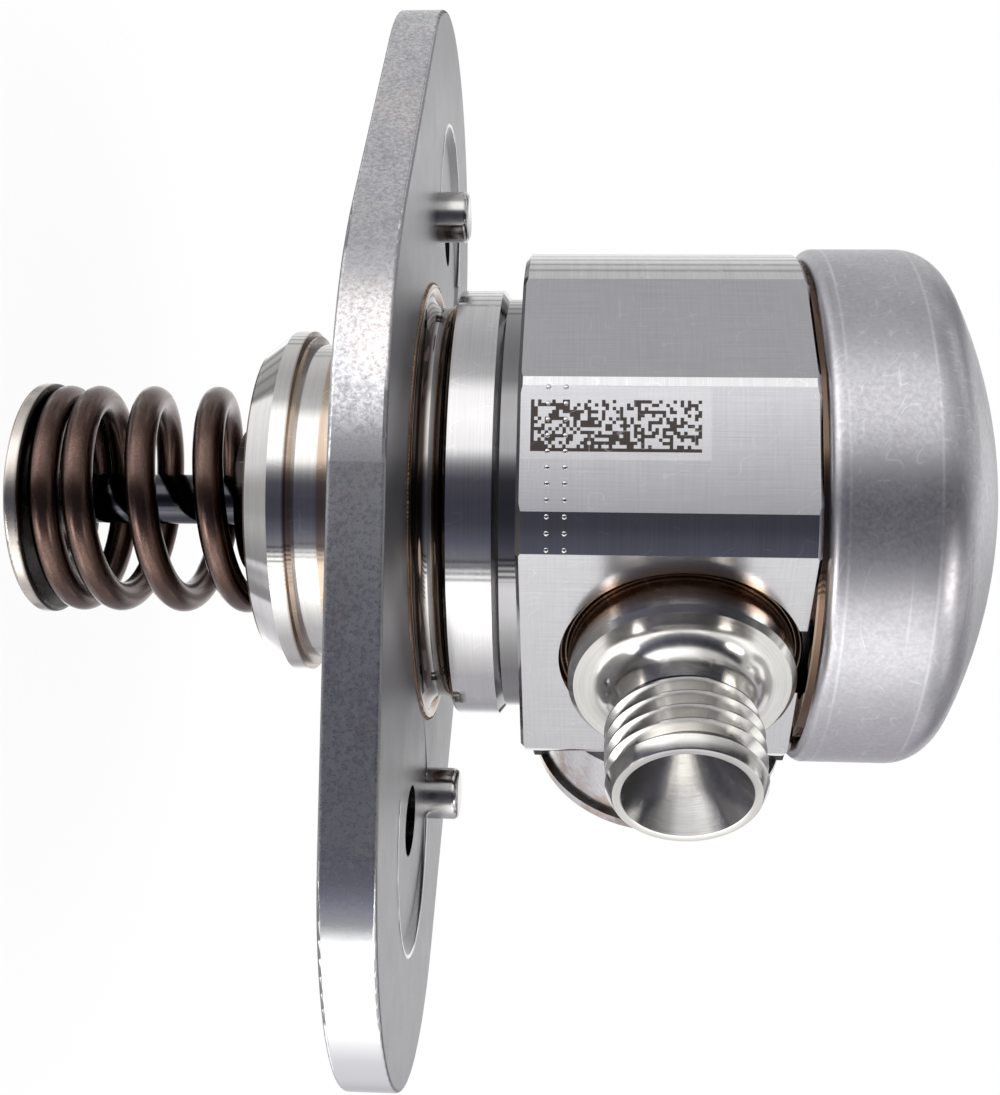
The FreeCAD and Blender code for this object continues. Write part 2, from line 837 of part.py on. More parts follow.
def connector_terminal(side):
    """Return one flat terminal that stands in the socket."""
    centre = side * terminal_spacing / 2
    half = terminal_width / 2
    middle = can_base + connector_band_start + connector_depth / 2
    root = connector_reach - connector_socket_depth
    blade = block(
        (centre - half, centre + half),
        (root, root + terminal_length),
        (middle - terminal_thick / 2, middle + terminal_thick / 2),
    )
    return radial(blade, solenoid_azimuth)


def inlet_fitting():
    """Return the inlet stub with its collar and hose bead."""
    start = inlet_flat_distance - inlet_shank_depth
    collar_end = inlet_flat_distance + inlet_collar_length
    end = collar_end + inlet_tube_length
    bead_middle = end - inlet_bead_from_end
    bead_half = inlet_bead_width / 2
    stub = turned([
        (inlet_bore_r, start),
        (inlet_shank_r, start),
        (inlet_shank_r, inlet_flat_distance),
        (inlet_collar_r, inlet_flat_distance),
        (inlet_collar_r, collar_end),
        (inlet_tube_r, collar_end),
        (inlet_tube_r, bead_middle - bead_half),
        ((inlet_bead_r, bead_middle), (inlet_tube_r, bead_middle + bead_half)),
        (inlet_tube_r, end),
        (inlet_bore_r, end),
    ])
    return radial(stub, inlet_azimuth)


def inlet_filter():
    """Return the tapered strainer that sits in the inlet's bore."""
    start = inlet_flat_distance
    end = start + filter_length
    strainer = turned([
        (0, start),
        (filter_tip_r, start),
        (inlet_bore_r, end),
        (inlet_bore_r - filter_wall, end),
        (filter_tip_r - filter_wall, start + filter_wall),
        (0, start + filter_wall),
    ])
    return radial(strainer, inlet_azimuth)


def damper_stack():
    """Return the damper's rings and capsules from the recess floor up to the cap."""
    first_rim = recess_floor + damper_lower_ring_height
    first_top = first_rim + capsule_rim
    second_rim = first_top + damper_middle_ring_height
    second_top = second_rim + capsule_rim
    crown_inner = cap_crown_r - cap_wall
    crown_centre = cap_top - cap_crown_r
    crown_height = crown_centre + math.sqrt(crown_inner ** 2 - damper_ring_r ** 2)
    return {
        "damper_ring_lower": damper_ring(recess_floor, first_rim),
        "damper_capsule_lower": damper_capsule(first_rim),
        "damper_ring_middle": damper_ring(first_top, second_rim),
        "damper_capsule_upper": damper_capsule(second_rim),
        "damper_ring_upper": damper_ring(second_top, crown_height),
    }


def build():
    """Return every piece of the pump by its name."""
    pieces = {
        "pump_body": pump_body(),
        "mounting_flange": mounting_flange(),
        "flange_weld": flange_weld(),
        "guide_pin_1": guide_pin(0),
        "guide_pin_2": guide_pin(180),
        "cylinder_sleeve": cylinder_sleeve(),
        "seal_carrier": seal_carrier(),
        "plunger_seal": plunger_seal(),
        "plunger": plunger(),
        "spring_retainer": spring_retainer(),
        "plunger_spring": plunger_spring(),
        "damper_cap": damper_cap(),
        "outlet_fitting": outlet_fitting(),
        "outlet_valve_seat": outlet_valve_seat(),
        "outlet_valve_ball": outlet_valve_ball(),
        "outlet_valve_cage": outlet_valve_cage(),
        "solenoid_can": solenoid_can(),
        "solenoid_cover": solenoid_cover(),
        "coil_bobbin": coil_bobbin(),
        "solenoid_coil": solenoid_coil(),
        "pole_core": pole_core(),
        "armature": armature(),
        "inlet_valve_seat": inlet_valve_seat(),
        "inlet_valve": inlet_valve(),
        "connector_shell": connector_shell(),
        "connector_terminal_1": connector_terminal(-1),
        "connector_terminal_2": connector_terminal(1),
        "inlet_fitting": inlet_fitting(),
        "inlet_filter": inlet_filter(),
    }
    pieces.update(damper_stack())
    return pieces


def export(pieces):
    """Write one file for each piece."""
    os.makedirs("parts", exist_ok=True)
    for name, shape in pieces.items():
        shape.exportStep("parts/" + name + ".step")
        print(name, "solids", len(shape.Solids), "valid", shape.isValid(), "volume", round(shape.Volume, 2))


export(build())
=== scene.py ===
"""Looks of the high pressure fuel pump: finishes, fine forms, studio and camera on the CAD frame.

Lengths are in metres and angles in degrees unless a name says otherwise. The pump axis is Z, and
azimuths are measured from X towards Y, as in the part's source.
"""

import logging
import math
from collections.abc import Sequence
from dataclasses import dataclass, field
from enum import Enum

import bmesh
import bpy
from mathutils import Matrix, Vector


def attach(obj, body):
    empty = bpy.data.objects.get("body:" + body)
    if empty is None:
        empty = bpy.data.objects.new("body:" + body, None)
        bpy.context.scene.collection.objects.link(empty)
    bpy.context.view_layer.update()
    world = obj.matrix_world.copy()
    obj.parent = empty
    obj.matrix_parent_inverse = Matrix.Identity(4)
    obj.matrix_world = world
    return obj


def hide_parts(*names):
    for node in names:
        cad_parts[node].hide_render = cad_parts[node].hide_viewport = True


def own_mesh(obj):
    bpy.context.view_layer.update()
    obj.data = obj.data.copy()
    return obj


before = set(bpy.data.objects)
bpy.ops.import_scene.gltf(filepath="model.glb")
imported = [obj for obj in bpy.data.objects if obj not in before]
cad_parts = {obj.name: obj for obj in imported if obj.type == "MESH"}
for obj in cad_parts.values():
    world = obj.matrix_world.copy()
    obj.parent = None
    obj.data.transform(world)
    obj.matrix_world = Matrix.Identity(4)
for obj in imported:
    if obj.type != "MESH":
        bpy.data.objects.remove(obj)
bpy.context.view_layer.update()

log = logging.getLogger("fuel_pump")

MM = 0.001
SCRATCH_TONE = (0.85, 0.85, 0.85)
QUARTER_TURN = 0.25
SHARP_TURNED = 28
SHARP_BEAD = 60

Colour = tuple[float, float, float]
Socket = bpy.types.NodeSocket


# Axes that pieces were turned on


@dataclass(frozen=True)
class TurningAxis:
    """A line that a piece was turned about.

    Args:
        origin: A point on the line.
        direction: The line's unit direction.
    """

    origin: Vector
    direction: Vector

    def place(self, radius: float, along: float, angle: float) -> Vector:
        """Give a point at a radius, a distance along the axis and an angle in radians."""
        across = Vector((0, 0, 1)) if abs(self.direction.z) < 0.5 else Vector((1, 0, 0))
        first = (across - self.direction * across.dot(self.direction)).normalized()
        second = self.direction.cross(first)
        spoke = first * math.cos(angle) + second * math.sin(angle)
        return self.origin + self.direction * along + spoke * radius


def radial_axis(azimuth: float) -> TurningAxis:
    """Give the side axis that leaves the pump at an azimuth and at the port's height."""
    turn = math.radians(azimuth)
    return TurningAxis(Vector((0, 0, PORT_HEIGHT)), Vector((math.cos(turn), math.sin(turn), 0)))


PORT_HEIGHT = 29.45 * MM
PORT_AZIMUTH = -23.1
SOLENOID_AZIMUTH = 66.9
INLET_AZIMUTH = 145.5
PUMP_AXIS = TurningAxis(Vector((0, 0, 0)), Vector((0, 0, 1)))
OUTLET_AXIS = radial_axis(PORT_AZIMUTH)
INLET_AXIS = radial_axis(INLET_AZIMUTH)


# Shader building


class Graph:
    """Short calls that build the nodes of one material or world."""

    def __init__(self, tree: bpy.types.NodeTree) -> None:
        """Start on a node tree.

        Args:
            tree: The tree that the nodes go into.
        """
        self.tree = tree

    def add(self, kind: str, **settings: object) -> bpy.types.Node:
        """Add one node.

        Args:
            kind: The node's type.
            settings: Properties to set on it.

        Returns:
            The new node.
        """
        node = self.tree.nodes.new(kind)
        for name, value in settings.items():
            setattr(node, name, value)
        return node

    def feed(self, socket: Socket, value: object) -> None:
        """Link a socket to an input, or set the input's value."""
        if isinstance(value, Socket):
            self.tree.links.new(value, socket)
        elif isinstance(value, tuple) and len(value) == 3 and socket.type == "RGBA":
            socket.default_value = (*value, 1.0)
        else:
            socket.default_value = value

    def math(self, operation: str, *values: object, clamp: bool = False) -> Socket:
        """Add a Math node and give its result."""
        node = self.add("ShaderNodeMath", operation=operation, use_clamp=clamp)
        for socket, value in zip(node.inputs, values):
            self.feed(socket, value)
        return node.outputs[0]

    def vector(self, operation: str, *values: object) -> bpy.types.Node:
        """Add a Vector Math node and give the node."""
        node = self.add("ShaderNodeVectorMath", operation=operation)
        for socket, value in zip(node.inputs, values):
            self.feed(socket, value)
        return node

    def dot(self, vector: Socket, direction: Sequence[float]) -> Socket:
        """Give the length of a vector along a direction."""
        return self.vector("DOT_PRODUCT", vector, tuple(direction)).outputs["Value"]

    def scaled(self, vector: Socket, factor: object) -> Socket:
        """Give a vector times a number."""
        node = self.add("ShaderNodeVectorMath", operation="SCALE")
        self.feed(node.inputs[0], vector)
        self.feed(node.inputs["Scale"], factor)
        return node.outputs["Vector"]

    def combine(self, x: object, y: object, z: object) -> Socket:
        """Give a vector from its three parts."""
        node = self.add("ShaderNodeCombineXYZ")
        for socket, value in zip(node.inputs, (x, y, z)):
            self.feed(socket, value)
        return node.outputs[0]

    def smooth(self, value: Socket, low: float, high: float) -> Socket:
        """Give 0 below one value and 1 above the other, with a smooth step between."""
        node = self.add("ShaderNodeMapRange", interpolation_type="SMOOTHSTEP")
        self.feed(node.inputs["Value"], value)
        self.feed(node.inputs["From Min"], low)
        self.feed(node.inputs["From Max"], high)
        return node.outputs["Result"]

    def spread(self, value: Socket, low: float, high: float) -> Socket:
        """Give a 0 to 1 value moved onto another range."""
        node = self.add("ShaderNodeMapRange")
        self.feed(node.inputs["Value"], value)
        self.feed(node.inputs["To Min"], low)
        self.feed(node.inputs["To Max"], high)
        return node.outputs["Result"]

    def noise(self, vector: Socket, scale: float, detail: float = 2.0, rough: float = 0.5) -> Socket:
        """Give noise from 0 to 1.

        Args:
            vector: Where the noise is read.
            scale: Features per unit of the vector.
            detail: Octaves of finer noise.
            rough: How strong the finer octaves are.

        Returns:
            The noise factor.
        """
        node = self.add("ShaderNodeTexNoise")
        self.feed(node.inputs["Vector"], vector)
        self.feed(node.inputs["Scale"], scale)
        self.feed(node.inputs["Detail"], detail)
        self.feed(node.inputs["Roughness"], rough)
        return node.outputs["Fac"]

    def mix(self, factor: object, first: object, second: object) -> Socket:
        """Give a colour between two colours."""
        node = self.add("ShaderNodeMix", data_type="RGBA")
        self.feed(node.inputs["Factor"], factor)
        self.feed(node.inputs[6], first)
        self.feed(node.inputs[7], second)
        return node.outputs[2]

    def split(self, vector: Socket) -> tuple[Socket, Socket, Socket]:
        """Give the three parts of a vector."""
        node = self.add("ShaderNodeSeparateXYZ")
        self.feed(node.inputs[0], vector)
        return tuple(node.outputs)

    def hairlines(self, across: object, along: object, width: float) -> Socket:
        """Give thin straight scratches as a mask, sparse and uneven in strength.

        Args:
            across: Distance across the scratches, in mean spacings.
            along: Distance along them, in mean lengths.
            width: Share of the spacing that a scratch covers.

        Returns:
            1 on a scratch and 0 off it.
        """
        field = self.noise(self.combine(across, along, 0.0), 1.0, 0.0)
        off = self.math("ABSOLUTE", self.math("SUBTRACT", field, 0.5))
        line = self.math("SUBTRACT", 1.0, self.smooth(off, 0.0, width))
        wider, shorter = self.math("MULTIPLY", across, 0.7), self.math("MULTIPLY", along, 1.7)
        gate = self.noise(self.combine(wider, shorter, 5.0), 1.0, 0.0)
        return self.math("MULTIPLY", line, self.smooth(gate, 0.50, 0.66))

    def band(self, value: Socket, low: float, high: float, soft: float) -> Socket:
        """Give 1 between two values and 0 outside, with soft ends."""
        rising = self.smooth(value, low - soft, low + soft)
        return self.math("MULTIPLY", rising, self.smooth(value, high + soft, high - soft))

    def bump(
        self, height: Socket, depth: float, strength: float = 1.0, under: Socket | None = None,
    ) -> Socket:
        """Give a normal that a height pattern disturbs.

        Args:
            height: The pattern, from 0 to 1.
            depth: Its height in metres.
            strength: How much of the disturbance is used.
            under: A normal that is already disturbed.

        Returns:
            The new normal.
        """
        node = self.add("ShaderNodeBump")
        self.feed(node.inputs["Height"], height)
        self.feed(node.inputs["Distance"], depth)
        self.feed(node.inputs["Strength"], strength)
        if under is not None:
            self.feed(node.inputs["Normal"], under)
        return node.outputs["Normal"]

    def ramp(self, value: Socket, stops: Sequence[tuple[float, object]]) -> Socket:
        """Give a colour ramp's result.

        Args:
            value: Where on the ramp.
            stops: Positions, each with a grey value or a colour.

        Returns:
            The colour.
        """
        node = self.add("ShaderNodeValToRGB")
        elements = node.color_ramp.elements
        while len(elements) < len(stops):
            elements.new(1.0)
        for element, (position, colour) in zip(elements, stops):
            element.position = position
            tone = colour if isinstance(colour, tuple) else (colour,) * 3
            element.color = (*tone, 1.0)
        self.feed(node.inputs["Fac"], value)
        return node.outputs["Color"]


class Surface(Graph):
    """The nodes of one material, with its shader at hand."""

    def __init__(self, name: str) -> None:
        """Start a material.

        Args:
            name: The material's name.
        """
        self.material = bpy.data.materials.new(name)
        self.material.use_nodes = True
        super().__init__(self.material.node_tree)
        self.shader = self.tree.nodes["Principled BSDF"]
        coordinates = self.add("ShaderNodeTexCoord")
        self.place = coordinates.outputs["Object"]
        self.facing = coordinates.outputs["Normal"]

    def set(self, **values: object) -> None:
        """Set or link the shader's inputs, named in lower case with underscores."""
        names = {socket.name.lower().replace(" ", "_"): socket for socket in self.shader.inputs}
        for name, value in values.items():
            self.feed(names[name], value)

    def around(self, axis: TurningAxis) -> tuple[Socket, Socket, Socket]:
        """Give the distance along an axis, the distance from it and the unit spoke."""
        moved = self.vector("SUBTRACT", self.place, tuple(axis.origin)).outputs[0]
        along = self.dot(moved, axis.direction)
        on_axis = self.scaled(tuple(axis.direction), along)
        spoke = self.vector("SUBTRACT", moved, on_axis).outputs[0]
        radius = self.vector("LENGTH", spoke).outputs["Value"]
        unit = self.vector("NORMALIZE", spoke).outputs[0]
        return along, radius, unit

    def turn_about(self, unit: Socket, axis: TurningAxis) -> Socket:
        """Give the angle of a unit spoke about its axis, in turns."""
        first = axis.place(1.0, 0.0, 0.0) - axis.origin
        second = axis.place(1.0, 0.0, math.pi / 2) - axis.origin
        angle = self.math("ARCTAN2", self.dot(unit, second), self.dot(unit, first))
        return self.math("MULTIPLY", angle, 1 / (2 * math.pi))


# Finishes


@dataclass(frozen=True)
class Tint:
    """A band of heat colour on a turned surface.

    Args:
        at: Place of the band's middle along the axis.
        reach: Distance over which it fades to nothing.
        colour: The colour that bare steel is multiplied by.
    """

    at: float
    reach: float
    colour: Colour


@dataclass(frozen=True)
class TurnedSteel:
    """Bright steel with the fine rings that a lathe leaves.

    Args:
        name: The material's name.
        axis: The axis that the piece was turned on.
        tone: Reflected colour of the bare metal.
        roughness: Mean roughness.
        ring_pitch: Distance between tool marks.
        ring_depth: Depth of the tool marks.
        streak: How much the rings change in brightness, from 0 to 1.
        anisotropic: How far the rings spread highlights across themselves.
        scuff: Strength of the small scratches.
        dark_core: Radius within which the metal is painted dark as shade, or 0.
        painted_shade_tone: Colour of that painted shade.
        tints: Bands of heat colour.
    """

    name: str
    axis: TurningAxis = PUMP_AXIS
    tone: Colour = (0.63, 0.62, 0.625)
    roughness: float = 0.10
    ring_pitch: float = 0.10 * MM
    ring_depth: float = 0.0006 * MM
    streak: float = 0.20
    anisotropic: float = 0.45
    scuff: float = 0.25
    dark_core: float = 0.0
    painted_shade_tone: Colour = (0.035, 0.030, 0.028)
    tints: tuple[Tint, ...] = ()

    def make(self) -> bpy.types.Material:
        """Build the material."""
        s = Surface(self.name)
        along, radius, unit = s.around(self.axis)
        across = s.math("MULTIPLY_ADD", radius, 0.73, along)
        depth = s.scaled(tuple(self.axis.direction), s.math("DIVIDE", across, self.ring_pitch))
        rings = s.noise(s.vector("ADD", depth, s.scaled(unit, 1.3)).outputs[0], 1.0, 2.0)
        broad = s.noise(s.vector("ADD", s.scaled(depth, 0.12), s.scaled(unit, 2.0)).outputs[0], 1.0, 3.0)
        marks = s.noise(s.vector("ADD", s.scaled(depth, 0.35), s.scaled(unit, 9.0)).outputs[0], 1.0, 2.0)
        tone: object = self.tone
        for tint in self.tints:
            off = s.math("ABSOLUTE", s.math("SUBTRACT", along, tint.at))
            amount = s.math("SUBTRACT", 1.0, s.smooth(off, tint.reach * 0.55, tint.reach))
            amount = s.math("MULTIPLY", amount, s.spread(broad, 0.75, 1.2), clamp=True)
            tone = s.mix(amount, tone, tint.colour)
        shade = s.math("ADD", s.math("MULTIPLY", rings, 0.5), s.math("MULTIPLY", broad, 0.5))
        # Painted shade: inside this radius the colour goes dark where the pocket lies in shade.
        if self.dark_core > 0:
            tone = s.mix(s.smooth(radius, self.dark_core, self.dark_core * 0.97), tone, self.painted_shade_tone)
        dull = s.vector("MULTIPLY", tone, (0.42, 0.415, 0.41)).outputs[0]
        tone = s.mix(s.spread(shade, -self.streak, self.streak * 2.6), tone, dull)
        side = s.math("MULTIPLY", s.turn_about(unit, self.axis), 90.0)
        scratch = s.hairlines(side, s.math("DIVIDE", along, 3 * MM), 0.03)
        tone = s.mix(s.math("MULTIPLY", scratch, self.scuff), tone, SCRATCH_TONE)
        rough = s.spread(marks, self.roughness * 0.7, self.roughness * 1.35)
        rough = s.math("MULTIPLY_ADD", scratch, self.scuff * 0.25, rough)
        groove = s.vector("CROSS_PRODUCT", tuple(self.axis.direction), unit).outputs[0]
        s.set(
            base_color=tone, metallic=1.0, roughness=rough, anisotropic=self.anisotropic,
            anisotropic_rotation=QUARTER_TURN, tangent=groove, normal=s.bump(rings, self.ring_depth),
        )
        return s.material


@dataclass(frozen=True)
class MilledSteel:
    """A milled flat on the body with fine crossed tool marks.

    Args:
        name: The material's name.
        azimuth: Direction that the flat faces.
        tone: Reflected colour of the bare metal.
        roughness: Mean roughness.
        grain: Distance between the marks that run along the pump axis.
        streak: How much the marks change in brightness.
        scratch: Strength of the small scratches.
        mark_depth: Depth of the tool marks.
    """

    name: str
    azimuth: float
    tone: Colour = (0.62, 0.612, 0.63)
    roughness: float = 0.14
    grain: float = 0.13 * MM
    streak: float = 0.17
    scratch: float = 0.2
    mark_depth: float = 0.0005 * MM

    def make(self) -> bpy.types.Material:
        """Build the material."""
        s = Surface(self.name)
        self.dress(s, self.tone)
        return s.material

    def across(self, s: Surface) -> Socket:
        """Give the distance across the flat, square to the pump axis."""
        turn = math.radians(self.azimuth)
        return s.dot(s.place, (-math.sin(turn), math.cos(turn), 0))

    def dress(self, s: Surface, tone: object) -> None:
        """Lay the milled finish over a colour.

        Args:
            s: The material that is being built.
            tone: The colour under the tool marks.
        """
        side = self.across(s)
        height = s.dot(s.place, (0, 0, 1))
        lengthwise = self.marks(s, side, height, self.grain, self.grain * 60, 0.0)
        crosswise = self.marks(s, side, height, self.grain * 40, self.grain * 1.6, 3.0)
        cloud = s.noise(s.place, 260.0, 3.0)
        weave = s.math("ADD", s.math("MULTIPLY", lengthwise, 0.6), s.math("MULTIPLY", crosswise, 0.4))
        shade = s.math("ADD", s.math("MULTIPLY", weave, 0.75), s.math("MULTIPLY", cloud, 0.25))
        dull = s.vector("MULTIPLY", tone, (0.35, 0.35, 0.36)).outputs[0]
        colour = s.mix(s.spread(shade, -self.streak, self.streak * 2.8), tone, dull)
        lean = s.math("MULTIPLY_ADD", height, 0.35, side)
        scratch = s.hairlines(s.math("DIVIDE", lean, 1.5 * MM), s.math("DIVIDE", height, 2.6 * MM), 0.02)
        colour = s.mix(s.math("MULTIPLY", scratch, self.scratch), colour, SCRATCH_TONE)
        s.set(
            base_color=colour, metallic=1.0,
            roughness=s.spread(weave, self.roughness * 0.7, self.roughness * 1.3),
            normal=s.bump(weave, self.mark_depth),
        )

    @staticmethod
    def marks(s: Surface, side: Socket, height: Socket, width: float, length: float, seed: float) -> Socket:
        """Give one direction of tool marks.

        Args:
            s: The material that is being built.
            side: Distance across the flat.
            height: Distance along the pump axis.
            width: Size of a mark across the flat.
            length: Size of a mark along the pump axis.
            seed: Where in the noise the marks are read.

        Returns:
            The marks, from 0 to 1.
        """
        spot = s.combine(s.math("DIVIDE", side, width), s.math("DIVIDE", height, length), seed)
        return s.noise(spot, 1.0, 2.0)


@dataclass(frozen=True)
class MarkedFlat(MilledSteel):
    """The milled flat with a laser-whitened field and a block of random dark cells.

    Args:
        field_start: Low corner of the whitened field, along the axis and across.
        field_end: High corner of the whitened field.
        cells_start: Low corner of the block of cells.
        cell: Side of one cell.
        columns: Cells along the axis.
        rows: Cells across.
        dark_share: Share of the cells that are dark.
        cell_tone: Colour of a dark cell.
        field_tones: Darkest and palest colour of the whitened field.
    """

    field_start: tuple[float, float] = (14.9 * MM, -1.0 * MM)
    field_end: tuple[float, float] = (31.3 * MM, 5.5 * MM)
    cells_start: tuple[float, float] = (15.7 * MM, -0.3 * MM)
    cell: float = 0.308 * MM
    columns: int = 48
    rows: int = 15
    dark_share: float = 0.52
    cell_tone: Colour = (0.055, 0.042, 0.036)
    field_tones: tuple[Colour, Colour] = ((0.72, 0.72, 0.73), (0.82, 0.82, 0.84))

    def make(self) -> bpy.types.Material:
        """Build the material."""
        s = Surface(self.name)
        side = s.math("MULTIPLY", self.across(s), -1.0)
        height = s.dot(s.place, (0, 0, 1))
        soft = 0.08 * MM
        field = self.inside(s, height, side, self.field_start, self.field_end, soft)
        cells_end = (
            self.cells_start[0] + self.cell * self.columns,
            self.cells_start[1] + self.cell * self.rows,
        )
        block = self.inside(s, height, side, self.cells_start, cells_end, 0.004 * MM)
        column = s.math("FLOOR", s.math("DIVIDE", s.math("SUBTRACT", height, self.cells_start[0]), self.cell))
        row = s.math("FLOOR", s.math("DIVIDE", s.math("SUBTRACT", side, self.cells_start[1]), self.cell))
        random = s.add("ShaderNodeTexWhiteNoise", noise_dimensions="2D")
        s.feed(random.inputs["Vector"], s.combine(column, row, 0.0))
        dark = s.math("GREATER_THAN", random.outputs["Value"], 1 - self.dark_share)
        edge = s.math("LESS_THAN", s.math("MINIMUM", column, row), 0.5)
        dark = s.math("MAXIMUM", dark, edge)
        ink = s.math("MULTIPLY", dark, block)
        grain = s.noise(s.place, 9000.0, 2.0)
        white = s.mix(grain, *self.field_tones)
        tone = s.mix(s.math("MULTIPLY", field, 0.85), self.tone, white)
        tone = s.mix(ink, tone, self.cell_tone)
        self.dress(s, tone)
        s.set(metallic=s.spread(s.math("MAXIMUM", s.math("MULTIPLY", field, 0.6), ink), 1.0, 0.35))
        return s.material

    @staticmethod
    def inside(
        s: Surface, height: Socket, side: Socket, low: tuple[float, float], high: tuple[float, float],
        soft: float,
    ) -> Socket:
        """Give 1 inside a rectangle of the flat and 0 outside.

        Args:
            s: The material that is being built.
            height: Distance along the axis.
            side: Distance across the flat.
            low: The rectangle's low corner.
            high: The rectangle's high corner.
            soft: Width of the soft edge.

        Returns:
            The mask.
        """
        return s.math("MULTIPLY", s.band(height, low[0], high[0], soft), s.band(side, low[1], high[1], soft))


@dataclass(frozen=True)
class PlateSteel:
    """Satin rolled plate, with a mottled sheared edge, painted shade in the bolt holes and a painted
    highlight towards one end of the edge, which is also smoother there.

    Args:
        name: The material's name.
        tone: Reflected colour of the face.
        roughness: Roughness of the face.
        edge_tone: Reflected colour of the edge.
        edge_roughness: Roughness of the edge.
        pit_tone: Colour of the face's fine pits.
        speck_tone: Colour of the face's dark specks.
        scale_tone: Colour of the edge's dull patches.
        rust_tone: Colour of the edge's brown patches.
        painted_highlight_tone: Colour of the painted highlight towards the edge's end.
        hole_shade_tone: Colour of the painted shade inside the bolt holes.
        glossy_lit_from: Place along X from which the edge turns smoother and takes a painted highlight.
        glossy_lit_over: Distance over which it turns smoother and lighter.
        glossy_lit_waver: How far the mottling moves that place.
        hole_circle: Distance of the holes from the pump axis.
        hole_radius: Radius of the painted shade round each hole's axis.
    """

    name: str
    tone: Colour = (0.45, 0.445, 0.465)
    roughness: float = 0.38
    edge_tone: Colour = (0.78, 0.78, 0.79)
    edge_roughness: float = 0.16
    pit_tone: Colour = (0.24, 0.24, 0.25)
    speck_tone: Colour = (0.22, 0.21, 0.21)
    scale_tone: Colour = (0.34, 0.34, 0.37)
    rust_tone: Colour = (0.36, 0.29, 0.28)
    painted_highlight_tone: Colour = (0.95, 0.95, 0.955)
    hole_shade_tone: Colour = (0.03, 0.03, 0.03)
    glossy_lit_from: float = 36.0 * MM
    glossy_lit_over: float = 10.0 * MM
    glossy_lit_waver: float = 30.0 * MM
    hole_circle: float = 33.4 * MM
    hole_radius: float = 3.36 * MM

    def make(self) -> bpy.types.Material:
        """Build the material."""
        s = Surface(self.name)
        upright = s.math("ABSOLUTE", s.dot(s.facing, (0, 0, 1)))
        face = s.smooth(upright, 0.35, 0.75)
        grit = s.noise(s.place, 5200.0, 3.0, 0.65)
        cloud = s.noise(s.place, 320.0, 4.0)
        flakes = s.noise(s.place, 2600.0, 8.0, 0.8)
        patch = s.noise(s.place, 95.0, 3.0, 0.6)
        blots = s.math("ADD", s.math("MULTIPLY", flakes, 0.8), s.math("MULTIPLY", patch, 0.2))
        # Towards one end along X the edge is smoother and painted lighter: a painted highlight.
        along = s.split(s.place)[0]
        painted_highlight_field = s.math("MULTIPLY_ADD", s.math("SUBTRACT", flakes, 0.5), self.glossy_lit_waver, along)
        glossy_lit_end = s.smooth(painted_highlight_field, self.glossy_lit_from, self.glossy_lit_from + self.glossy_lit_over)
        blots = s.math("MAXIMUM", s.smooth(blots, 0.34, 0.66), glossy_lit_end)
        specks = s.smooth(s.noise(s.place, 2600.0, 1.0), 0.70, 0.76)
        face_tone = s.mix(s.spread(grit, -0.2, 1.2), self.tone, self.pit_tone)
        face_tone = s.mix(s.math("MULTIPLY", specks, 0.35), face_tone, self.speck_tone)
        dark = s.mix(s.smooth(patch, 0.52, 0.66), self.scale_tone, self.rust_tone)
        bright = s.mix(glossy_lit_end, self.edge_tone, self.painted_highlight_tone)
        edge_tone = s.mix(blots, dark, bright)
        tone = s.mix(face, edge_tone, face_tone)
        # Painted shade inside the bolt holes.
        tone = s.mix(self.hole_shade_mask(s), tone, self.hole_shade_tone)
        rough_face = s.spread(cloud, self.roughness * 0.85, self.roughness * 1.15)
        rough_edge = s.spread(blots, 0.42, self.edge_roughness)
        rough = s.add("ShaderNodeMix", data_type="FLOAT")
        for place, value in zip((0, 2, 3), (face, rough_edge, rough_face)):
            s.feed(rough.inputs[place], value)
        relief = s.math("MULTIPLY_ADD", flakes, 0.5, grit)
        s.set(
            base_color=tone, metallic=1.0, roughness=rough.outputs[0],
            normal=s.bump(relief, 0.0022 * MM, 0.6),
        )
        return s.material

    def hole_shade_mask(self, s: Surface) -> Socket:
        """Give the painted shade's mask: 1 inside the two bolt holes and 0 elsewhere."""
        x, y, _ = s.split(s.place)
        side = s.math("SUBTRACT", s.math("ABSOLUTE", x), self.hole_circle)
        off = s.vector("LENGTH", s.combine(side, y, 0.0)).outputs["Value"]
        return s.math("LESS_THAN", off, self.hole_radius)


